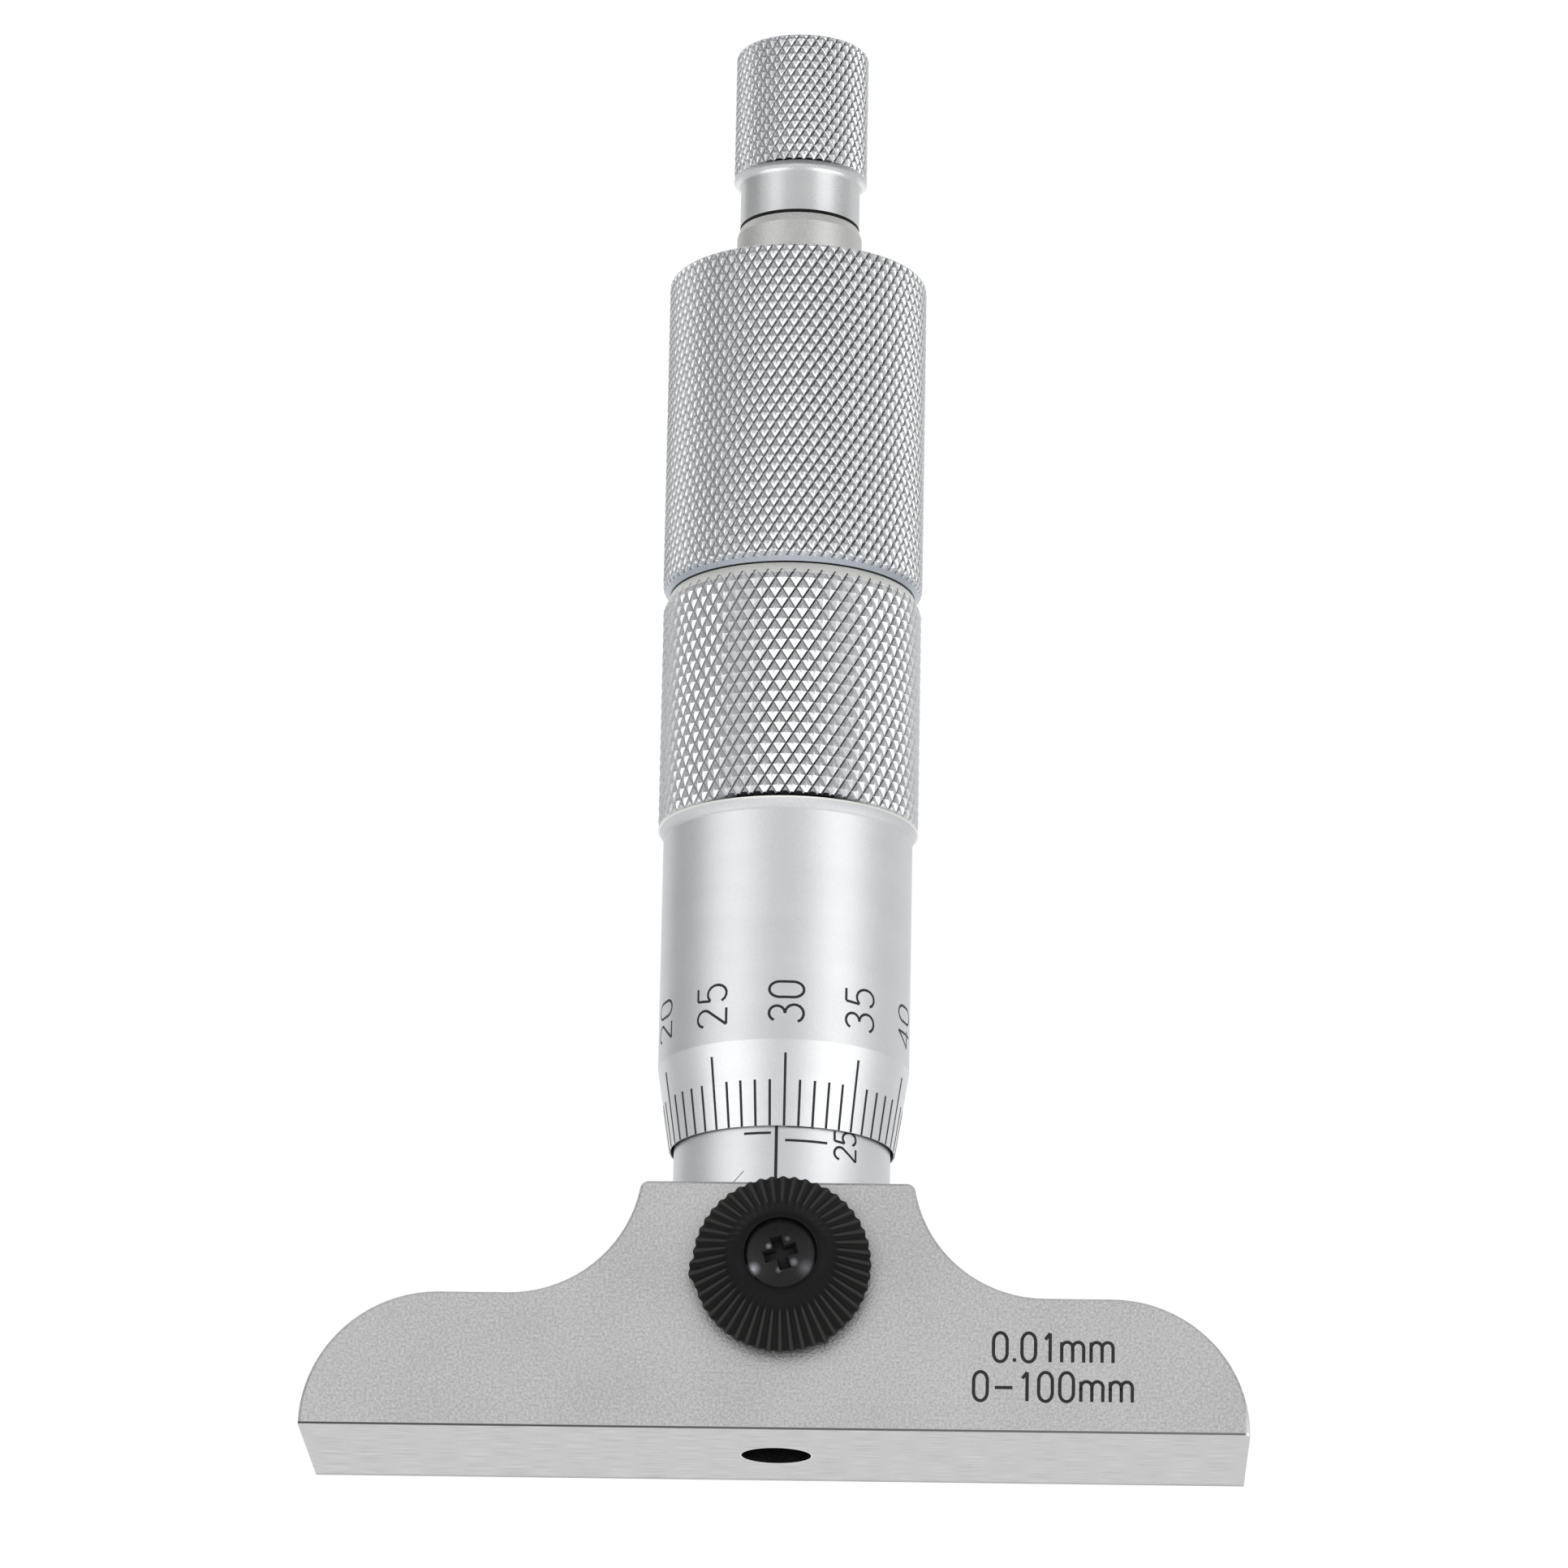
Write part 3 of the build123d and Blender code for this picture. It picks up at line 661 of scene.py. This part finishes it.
# Painted shade: a near-black finish for the knob screw's cross recess and the lower edge of the grip's
# skirt.
deep_shade = finish(
    "deep_shade", (0.008, 0.008, 0.009), (0.016, 0.016, 0.018), 0.6, 0.1 * mm, 0.003 * mm,
    metallic=0.0, specular=0.2,
)

# Painted shade: the foot of a knurl is painted near black at the front and left as chrome at the sides
foot_shade = finish("foot_shade", chrome_dark, chrome_light, 0.4, 0.1 * mm, 0.004 * mm)
tree = foot_shade.node_tree
behind = computed(tree, "DIVIDE", axes(tree)[1], axis_reach(tree))
front_shade_mask = spread(tree, behind, 0.0, 1.0, -0.93, -0.74)
marked(foot_shade, front_shade_mask, (0.012, 0.012, 0.013))

flare_chrome = finish("flare_chrome", chrome_dark, chrome_light, 0.6, 0.1 * mm, 0.008 * mm)
# Painted highlight: a lighter finish for the thimble's top band and the lip at the foot of its knurl.
edge_highlight = finish("edge_highlight", (0.66, 0.655, 0.64), (0.72, 0.715, 0.70), 0.5, 0.1 * mm, 0.006 * mm)


def knurled_chrome(name, roughness, crest, depth, shade_share):
    """Chrome with painted shade in the bottom of the grooves that lean one way, up to a share of their
    depth.
    """
    material = finish(name, chrome_dark, chrome_light, roughness, 0.9 * depth, 0.07 * depth)
    tree = material.node_tree
    groove_mask = tree.nodes.new("ShaderNodeGroup")
    groove_mask.node_tree = groove_group
    groove_mask.inputs["Root"].default_value = crest - depth
    groove_mask.inputs["Level"].default_value = crest - (1 - shade_share) * depth
    tree.links.new(axis_reach(tree), groove_mask.inputs["Reach"])
    marked(material, groove_mask.outputs["Unshaded"], groove_shade_tint)
    return material


bm = rolled_knurl(thimble_crest, thimble_knurl, knurl_low + relief_height, thimble_high.z, thimble_teeth)
root = thimble_crest - thimble_knurl
banded_edge(bm, thimble_high.z, thimble_crest - thimble_edge, root, -thimble_band, 3)
upper = turned_on(bm, open_ring(bm, thimble_high.z), [
    (flange_seat, thimble_high.z),
    (flange_seat, cone_high),
])
lower = knurl_foot(bm, knurl_low, root, thimble_crest, thimble_plain, thimble_flare, thimble_cut)
lower = turned_on(bm, lower, [
    (thimble_plain, bevel_top),
    (thimble_rim, thimble_low.z),
    (thimble_bore, thimble_low.z),
    (thimble_bore, ceiling),
    (hub_bore, ceiling),
    (hub_bore, cone_low),
])
bmesh.ops.bridge_loops(bm, edges=upper + lower)
thimble = finished("thimble_body", bm, satin_chrome, "thimble", smooth_angle=7)
for material in (
    knurled_chrome("thimble_knurl", 0.3, thimble_crest, thimble_knurl, 0.55),
    foot_shade,
    edge_highlight,
    flare_chrome,
):
    thimble.data.materials.append(material)
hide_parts("thimble")

divisions = 50
division = 2 * pi / divisions
reading = 29.66
fifth_line = 4.9 * mm
short_line = 3.1 * mm
bevel_lean = (thimble_plain - thimble_rim) / (bevel_top - thimble_low.z)
bm = bmesh.new()
for line in range(divisions):
    top = thimble_low.z + (short_line if line % 5 else fifth_line)
    middle = (thimble_low.z + top) / 2
    radius = thimble_rim + bevel_lean * (middle - thimble_low.z)
    upright_mark(bm, radius, thimble_low.z, top, (line - reading) * division, line_width, bevel_lean)
finished("thimble_scale", bm, black_fill, "thimble")

number_level = thimble_low.z + 8.45 * mm
thimble_lettering = {"height": 2.36 * mm, "width": 0.19 * mm, "gap": 0.21}
for number in range(0, divisions, 5):
    bm = engraved(str(number), **thimble_lettering)
    wrapped(bm, thimble_plain, (number - reading) * division, number_level)
    finished(f"thimble_number_{number}", bm, black_fill, "thimble")


# Ring nut: a slotted ring of turned steel, screwed into the top of the thimble.
# It clamps the spindle's flange in its conical seat and hides under the cap.
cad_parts["ring_nut"].data.materials[0] = plain_steel


# Rod pad and its spring: a turned steel pad and a coil of drawn wire inside the cap.
# They press the head of a rod down on its seat.
spring_steel = finish("spring_steel", (0.30, 0.30, 0.31), (0.38, 0.38, 0.39), 0.3, 0.1 * mm, 0.006 * mm)
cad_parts["rod_pad"].data.materials[0] = plain_steel
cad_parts["rod_spring"].data.materials[0] = spring_steel


# Rod cap: the long cap that unscrews from the spindle's neck to change rods.
# It is turned from steel, diamond knurled over its whole length, bevelled at both ends
# and satin chrome plated.
cap_low, cap_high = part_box("rod_cap")
pad_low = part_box("rod_pad")[0]
cap_crest = cap_high.x
cap_knurl = 0.2 * mm
cap_teeth = 71
cap_edge = 0.45 * mm
cap_band = 0.38 * mm
cap_bore = 4.85 * mm
cavity = 4.3 * mm
cavity_top = cap_high.z - 4.0 * mm
stud_hole = 1.51 * mm
bm = rolled_knurl(cap_crest, cap_knurl, cap_low.z, cap_high.z, cap_teeth)
banded_edge(bm, cap_low.z, cap_crest - cap_edge, cap_crest - cap_knurl, cap_band, 2)
turned_edge(bm, cap_high.z, cap_crest - cap_edge / 2, -cap_edge / 2, 1)
upper = turned_on(bm, open_ring(bm, cap_high.z), [(stud_hole, cap_high.z)])
lower = turned_on(bm, open_ring(bm, cap_low.z), [
    (cap_bore, cap_low.z),
    (cap_bore, pad_low.z),
    (cavity, pad_low.z),
    (cavity, cavity_top),
    (stud_hole, cavity_top),
])
bmesh.ops.bridge_loops(bm, edges=upper + lower)
cap = finished("cap_body", bm, satin_chrome, "cap", smooth_angle=40)
shaded_edge = finish("shaded_edge", (0.31, 0.33, 0.37), (0.36, 0.38, 0.42), 0.4, 0.1 * mm, 0.006 * mm)
for material in (
    knurled_chrome("cap_knurl", 0.22, cap_crest, cap_knurl, 0.65),
    shaded_edge,
):
    cap.data.materials.append(material)
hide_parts("rod_cap")


# Ratchet collar, clutch, spring and washer: turned steel and drawn wire, stacked on the stud.
# Only the collar's satin chromed rim shows, below the grip.
collar_steel = finish("collar_steel", (0.44, 0.44, 0.435), (0.53, 0.53, 0.525), 0.42, 0.1 * mm, 0.008 * mm)
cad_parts["ratchet_collar"].data.materials[0] = collar_steel
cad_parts["ratchet_clutch"].data.materials[0] = plain_steel
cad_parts["ratchet_spring"].data.materials[0] = spring_steel
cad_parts["thrust_washer"].data.materials[0] = plain_steel


# Ratchet grip: the small knob at the top, turned and diamond knurled, with a plain skirt below.
# It slips on the collar's teeth when the rod touches the work. Satin chrome on steel.
grip_low, grip_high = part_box("ratchet_grip")
spring_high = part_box("ratchet_spring")[1]
washer_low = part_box("thrust_washer")[0]
grip_crest = grip_high.x
grip_knurl = 0.17 * mm
grip_teeth = 40
grip_edge = 0.2 * mm
grip_flare = 0.65 * mm
grip_cut = 0.15 * mm
face_gap = 0.05 * mm
skirt_radius = 4.2 * mm
skirt_bore = 3.3 * mm
skirt_edge = 0.12 * mm
stud_bore = 1.55 * mm
well_radius = 2.55 * mm
skirt_top = grip_low.z + 3.62 * mm
bore_roof = spring_high.z + face_gap
well_floor = washer_low.z - face_gap
root = grip_crest - grip_knurl
bm = rolled_knurl(grip_crest, grip_knurl, skirt_top + relief_height, grip_high.z, grip_teeth)
turned_edge(bm, grip_high.z, grip_crest - grip_edge, -grip_edge, 1)
upper = turned_on(bm, open_ring(bm, grip_high.z), [
    (well_radius, grip_high.z),
    (well_radius, well_floor),
    (stud_bore, well_floor),
])
lower = knurl_foot(bm, skirt_top, root, grip_crest, skirt_radius, grip_flare, grip_cut)
lower = turned_on(bm, lower, [(skirt_radius, grip_low.z + skirt_edge)])
# Painted shade: the skirt's lower edge, by the gap over the collar, gets the near-black finish.
lower = turned_on(bm, lower, [(skirt_radius - skirt_edge, grip_low.z)], finish_index=5)
lower = turned_on(bm, lower, [
    (skirt_bore, grip_low.z),
    (skirt_bore, bore_roof),
    (stud_bore, bore_roof),
])
bmesh.ops.bridge_loops(bm, edges=upper + lower)
skirt_chrome = finish(
    "skirt_chrome", (0.475, 0.48, 0.485), (0.555, 0.56, 0.565), 0.3, 0.1 * mm, 0.006 * mm, (1, 1, 3)
)
grip = finished("grip_body", bm, skirt_chrome, "ratchet", smooth_angle=40)
for material in (
    knurled_chrome("grip_knurl", 0.14, grip_crest, grip_knurl, 0.6),
    foot_shade,
    skirt_chrome,
    skirt_chrome,
    deep_shade,
):
    grip.data.materials.append(material)
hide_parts("ratchet_grip")


# Ratchet stud: the slotted steel screw in the grip's well.
# It is turned with a shoulder, screwed into the cap and holds the whole stop together.
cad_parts["ratchet_stud"].data.materials[0] = plain_steel


# Clamp pad and clamp screw: a brass plug and the steel screw that pushes it on the rod.
# Both sit in the cross hole behind the knob.
brass = finish("brass", (0.62, 0.47, 0.20), (0.70, 0.55, 0.26), 0.3, 0.1 * mm, 0.006 * mm)
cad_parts["clamp_pad"].data.materials[0] = brass
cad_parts["clamp_screw"].data.materials[0] = plain_steel


# Clamp knob: a wheel moulded from black plastic, with thin rounded ribs down its cone and
# round its rim, a smooth hub, and two burrs left on the rim where the mould was parted.
knob_low, knob_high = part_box("clamp_knob")
knob_centre = Vector(((knob_low.x + knob_high.x) / 2, base_low.y, (knob_low.z + knob_high.z) / 2))
knob_radius = (knob_high.x - knob_low.x) / 2
knob_rear = base_low.y - knob_high.y
knob_front = base_low.y - knob_low.y
rib_count = 48
rib_depth = 0.17 * mm
rib_fade = 3.5
rim_width = 0.6 * mm
rib_end = 3.1 * mm
hub_radius = 2.75 * mm
screw_well = 2.44 * mm
well_depth = 1.3 * mm
boss_hole = 1.91 * mm
boss_depth = 0.45 * mm
screw_hole = 1.55 * mm
burrs = ((186, 6.5, 0.28 * mm), (300, 3.0, 0.15 * mm))
cone_slope = (knob_front - knob_rear - rim_width) / (knob_radius - hub_radius)
out_share = cone_slope / (1 + cone_slope ** 2) ** 0.5
up_share = 1 / (1 + cone_slope ** 2) ** 0.5

bm = bmesh.new()
ridge = bm.verts.layers.float.new("ridge")
bmesh.ops.create_grid(bm, x_segments=8, y_segments=14, size=0.5)
for vert in bm.verts:
    across, inward = vert.co.x, vert.co.y + 0.5
    height = cos(pi * across) ** 2
    fade = min(1.0, rib_fade * (1 - inward))
    sink = rib_depth * fade * (1 - height)
    turn = across * 2 * pi / rib_count
    reach = knob_radius + (rib_end - knob_radius) * inward
    rise = knob_rear + rim_width + (knob_radius - reach) * cone_slope - sink * up_share
    reach -= sink * out_share
    vert.co = (reach * cos(turn), reach * sin(turn), rise)
    vert[ridge] = height * fade
bmesh.ops.spin(
    bm, geom=everything(bm), cent=(0, 0, 0), axis=(0, 0, 1),
    angle=2 * pi * (1 - 1 / rib_count), steps=rib_count - 1, use_duplicate=True,
)
bmesh.ops.remove_doubles(bm, verts=bm.verts, dist=weld)
borders = [edge for edge in bm.edges if edge.is_boundary]
outer = [edge for edge in borders if edge.verts[0].co.xy.length > (knob_radius + rib_end) / 2]
inner = [edge for edge in borders if edge not in outer]
grown = bmesh.ops.extrude_edge_only(bm, edges=outer)["geom"]
for vert in verts_of(grown):
    vert.co.z = knob_rear
outer = [edge for edge in grown if isinstance(edge, bmesh.types.BMEdge) and edge.is_boundary]
turned_on(bm, outer, [(screw_hole, knob_rear)])
turned_on(bm, inner, [
    (hub_radius + 0.08 * mm, knob_front - 0.10 * mm),
    (hub_radius - 0.10 * mm, knob_front - 0.02 * mm),
    (screw_well + 0.12 * mm, knob_front),
    (screw_well, knob_front - 0.08 * mm),
    (screw_well, knob_front - well_depth),
    (boss_hole, knob_front - well_depth),
    (boss_hole, knob_rear + boss_depth),
    (screw_hole, knob_rear + boss_depth),
    (screw_hole, knob_rear),
])
bmesh.ops.remove_doubles(bm, verts=bm.verts, dist=weld)
for vert in bm.verts:
    if vert.co.xy.length > knob_radius - 2 * rib_depth:
        for place, half, length in burrs:
            ray = Vector((cos(radians(place)), sin(radians(place))))
            away = vert.co.xy.angle_signed(ray) / radians(half)
            vert.co.xy *= 1 + length / knob_radius * exp(-away ** 4)
facing = Matrix.Translation(knob_centre) @ Matrix.Rotation(pi / 2, 4, "X")
bmesh.ops.transform(bm, matrix=facing, verts=bm.verts)

black_plastic = finish(
    "black_plastic", (0.003, 0.003, 0.003), (0.005, 0.005, 0.005), 0.5, 0.15 * mm, 0.012 * mm,
    metallic=0.0, specular=0.1,
)
tree = black_plastic.node_tree
# Painted sheen: the rib crests are painted lighter than the valleys.
ribs = tree.nodes.new("ShaderNodeAttribute")
ribs.attribute_name = "ridge"
marked(black_plastic, spread(tree, ribs.outputs["Fac"], 1.0, 0.0, 0.6, 1.0), (0.035, 0.034, 0.032))
knob = finished("knob_body", bm, black_plastic, "clamp", smooth_angle=50)
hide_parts("clamp_knob")


# Knob screw: a domed steel screw with a cross recess, blackened, that holds the knob on its boss.
# It stopped a little turned when it was tightened. Glints on its dome are painted as lighter, metallic
# spots.
screw_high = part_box("knob_screw")[1]
head_radius = 2.4 * mm
head_dome = 0.42 * mm
head_top = knob_front
shank_radius = 0.8 * mm
shank_end = base_low.y - screw_high.y
cross_turn = radians(18)
cross_reach = 1.17 * mm
cross_half = 0.4 * mm
cross_depth = 0.8 * mm
cross_draft = 0.1 * mm
glint_spots = (
    (-1.8, -1.1, 0.55, 0.8),
    (-0.8, 0.42, 0.24, 0.9),
    (0.9, -0.64, 0.34, 0.6),
    (-0.1, -1.2, 0.24, 0.5),
    (1.75, -1.0, 0.7, 0.3),
    (0.45, 0.95, 0.22, 0.4),
)
black_steel = finish(
    "black_steel", (0.004, 0.004, 0.005), (0.008, 0.008, 0.009), 0.3, 0.15 * mm, 0.006 * mm,
    metallic=0.0, specular=0.22,
)
tree = black_steel.node_tree
flat = tree.nodes.new("ShaderNodeVectorMath")
flat.operation = "MULTIPLY"
flat.inputs[1].default_value = (1, 0, 1)
tree.links.new(tree.nodes["Texture Coordinate"].outputs["Object"], flat.inputs[0])
# Painted highlights: lighter, metallic spots on the dome stand for glints.
spots = []
for x, z, size, share in glint_spots:
    apart = tree.nodes.new("ShaderNodeVectorMath")
    apart.operation = "DISTANCE"
    apart.inputs[1].default_value = (knob_centre.x + x * mm, 0, knob_centre.z + z * mm)
    tree.links.new(flat.outputs[0], apart.inputs[0])
    spots.append(spread(tree, apart.outputs["Value"], 1.0 - share, 1.0, 0.0, size * mm))
dark = spots[0]
for spot in spots[1:]:
    dark = computed(tree, "MULTIPLY", dark, spot)
tree.links.new(spread(tree, dark, 0.9, 0.0), tree.nodes["Principled BSDF"].inputs["Metallic"])
marked(black_steel, dark, (0.30, 0.30, 0.32))

bend = (head_radius ** 2 + head_dome ** 2) / (2 * head_dome)
turns = [asin(head_radius / bend) * i / 10 for i in range(11)]
bm = bmesh.new()
points = [bm.verts.new((bend * sin(t), 0, head_top - bend * (1 - cos(t)))) for t in turns]
edges = [bm.edges.new(points[i:i + 2]) for i in range(len(points) - 1)]
bmesh.ops.spin(
    bm, geom=points + edges, cent=(0, 0, 0), axis=(0, 0, 1), angle=2 * pi, steps=72, use_merge=True
)
bmesh.ops.remove_doubles(bm, verts=bm.verts, dist=weld)
ring = turned_on(bm, [edge for edge in bm.edges if edge.is_boundary], [
    (head_radius, knob_front - well_depth),
    (shank_radius, knob_front - well_depth),
    (shank_radius, shank_end),
])
bmesh.ops.holes_fill(bm, edges=ring)
arms = [Vector((cos(t), sin(t), 0)) for t in (cross_turn, cross_turn + pi / 2)]
for arm in arms:
    for reach in (-cross_reach, -cross_half, cross_half, cross_reach):
        head = [v for v in bm.verts if v.co.z > head_top - 2 * head_dome]
        faces = [f for f in bm.faces if all(v.co.z > head_top - 2 * head_dome for v in f.verts)]
        edges = list({edge for face in faces for edge in face.edges})
        bmesh.ops.bisect_plane(
            bm, geom=head + edges + faces, dist=weld / 10, plane_co=reach * arm, plane_no=arm
        )
recess = []
for face in bm.faces:
    middle = face.calc_center_median()
    along, across = sorted((abs(middle.dot(arms[0])), abs(middle.dot(arms[1]))))
    if middle.z > head_top - head_dome and along < cross_half and across < cross_reach:
        recess.append(face)
walls = bmesh.ops.inset_region(
    bm, faces=recess, thickness=cross_draft, depth=-cross_depth, use_even_offset=True
)["faces"]
# Painted shade: the cross recess gets the near-black finish.
for face in recess + walls:
    face.material_index = 1
bmesh.ops.transform(bm, matrix=facing, verts=bm.verts)
screw = finished("screw_body", bm, black_steel, "clamp")
screw.data.materials.append(deep_shade)
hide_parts("knob_screw")


# Studio: white surroundings, and a pale floor that only the camera sees, from above, so that light
# still reaches the underside. Soft boxes stand in front at both sides and pass over the floor; grey
# cards at the sides and overhead and a bright one behind show only in the metal.
floor_size = 4.0
floor_gap = 0.05 * mm
floor_glow = 0.33
bm = bmesh.new()
bmesh.ops.create_grid(bm, x_segments=1, y_segments=1, size=floor_size / 2)
bmesh.ops.translate(bm, vec=(0, 0, -floor_gap), verts=bm.verts)
floor_mesh = bpy.data.meshes.new("floor")
bm.to_mesh(floor_mesh)
bm.free()
floor = bpy.data.objects.new("floor", floor_mesh)
bpy.context.scene.collection.objects.link(floor)
floor.visible_diffuse = False
floor.visible_glossy = False
floor.visible_transmission = False
floor.visible_shadow = False
unlit_by_boxes = bpy.data.collections.new("unlit_by_boxes")
unlit_by_boxes.objects.link(floor)
unlit_by_boxes.collection_objects[0].light_linking.link_state = "EXCLUDE"
pale = bpy.data.materials.new("pale_floor")
pale.use_nodes = True
tree = pale.node_tree
shader = tree.nodes["Principled BSDF"]
shader.inputs["Base Color"].default_value = (0.9, 0.9, 0.9, 1)
shader.inputs["Roughness"].default_value = 0.9
shader.inputs["Emission Color"].default_value = (1, 1, 1, 1)
shader.inputs["Emission Strength"].default_value = floor_glow
clear = tree.nodes.new("ShaderNodeBsdfTransparent")
side = tree.nodes.new("ShaderNodeNewGeometry")
choose = tree.nodes.new("ShaderNodeMixShader")
tree.links.new(side.outputs["Backfacing"], choose.inputs["Fac"])
tree.links.new(shader.outputs[0], choose.inputs[1])
tree.links.new(clear.outputs[0], choose.inputs[2])
tree.links.new(choose.outputs[0], tree.nodes["Material Output"].inputs["Surface"])
floor_mesh.materials.append(pale)

world = bpy.data.worlds.new("studio")
bpy.context.scene.world = world
world.use_nodes = True
tree = world.node_tree
rays = tree.nodes.new("ShaderNodeLightPath")
seen = rays.outputs["Is Camera Ray"]
for output in ("Is Glossy Ray", "Is Transmission Ray"):
    seen = computed(tree, "MAXIMUM", seen, rays.outputs[output])
tree.links.new(spread(tree, seen, 0.6, 1.0), tree.nodes["Background"].inputs["Strength"])
tree.nodes["Background"].inputs["Color"].default_value = (1, 1, 1, 1)

aim = Vector((0, 0, 0.05))
studio_radius = 0.7
card_radius = 1.2 * studio_radius


def direction(azimuth, elevation):
    """The way from the object to a place at an azimuth from the front and an elevation, in degrees."""
    a, e = radians(azimuth), radians(elevation)
    return Vector((sin(a) * cos(e), -cos(a) * cos(e), sin(e)))


def soft_box(name, start, end, low, high, radiance):
    """A flat lamp that fills a window of azimuths and elevations, seen from the object."""
    lamp = bpy.data.lights.new(name, "AREA")
    lamp.shape = "RECTANGLE"
    lamp.size = 2 * studio_radius * tan(radians(end - start) / 2)
    lamp.size_y = 2 * studio_radius * tan(radians(high - low) / 2)
    lamp.energy = pi * lamp.size * lamp.size_y * radiance
    box = bpy.data.objects.new(name, lamp)
    away = direction((start + end) / 2, (low + high) / 2)
    turn = away.to_track_quat("Z", "Y").to_matrix().to_4x4()
    box.matrix_world = Matrix.Translation(aim + studio_radius * away) @ turn
    box.visible_camera = False
    box.light_linking.receiver_collection = unlit_by_boxes
    bpy.context.scene.collection.objects.link(box)


def card(name, start, end, low, high, shade):
    """A curved card round the object, of one shade, that only reflections see."""
    bm = bmesh.new()
    rows = 6
    levels = [low + (high - low) * i / rows for i in range(rows + 1)]
    points = [bm.verts.new(card_radius * direction(start, level)) for level in levels]
    edges = [bm.edges.new(points[i:i + 2]) for i in range(rows)]
    bmesh.ops.spin(
        bm, geom=points + edges, cent=(0, 0, 0), axis=(0, 0, 1),
        angle=radians(end - start), steps=ceil((end - start) / 10),
    )
    bmesh.ops.translate(bm, vec=aim, verts=bm.verts)
    mesh = bpy.data.meshes.new(name)
    bm.to_mesh(mesh)
    bm.free()
    paint = bpy.data.materials.new(name)
    paint.use_nodes = True
    glow = paint.node_tree.nodes.new("ShaderNodeEmission")
    glow.inputs["Color"].default_value = (*shade, 1)
    paint.node_tree.links.new(glow.outputs[0], paint.node_tree.nodes["Material Output"].inputs["Surface"])
    mesh.materials.append(paint)
    board = bpy.data.objects.new(name, mesh)
    bpy.context.scene.collection.objects.link(board)
    board.visible_camera = False
    board.visible_diffuse = False
    board.visible_transmission = False
    board.visible_shadow = False


soft_box("left_low", -76, -20, -18, 4, 1.5)
soft_box("right_low", 20, 84, -18, 4, 1.6)
soft_box("left_high", -60, -34, 5, 30, 0.6)
soft_box("right_high", 34, 66, 5, 30, 0.9)
soft_box("left_bounce", -78, -20, -86, -46, 0.6)
soft_box("right_bounce", 20, 78, -86, -46, 0.6)
card("left_card", -128, -82, 4, 28, (0.5, 0.5, 0.5))
card("right_card", 84, 112, 19, 30, (0.6, 0.6, 0.6))
card("overhead_card", -95, 95, 31, 48, (0.42, 0.42, 0.42))
card("back_card", 135, 225, -14, 8, (1.5, 1.5, 1.5))

# Camera: at the photograph's viewing angle, below the measuring face and a little to the right of
# the front, well back with a long lens.
view_azimuth = 1.761
view_elevation = -17.242
view_roll = 1.112
view_distance = 554.4 * mm
view_target = Vector((0.06, -13.45, 43.31)) * mm
focal_pixels = 10116.4
photo_pixels = 1932
camera_data = bpy.data.cameras.new("camera")
camera_data.sensor_width = 36
camera_data.lens = focal_pixels / photo_pixels * camera_data.sensor_width
camera = bpy.data.objects.new("camera", camera_data)
away = direction(view_azimuth, view_elevation)
roll = Matrix.Rotation(radians(view_roll), 4, "Z")
camera.matrix_world = (
    Matrix.Translation(view_target + view_distance * away)
    @ away.to_track_quat("Z", "Y").to_matrix().to_4x4()
    @ roll
)
bpy.context.scene.collection.objects.link(camera)
bpy.context.scene.camera = camera
bpy.context.scene.view_settings.view_transform = "Standard"
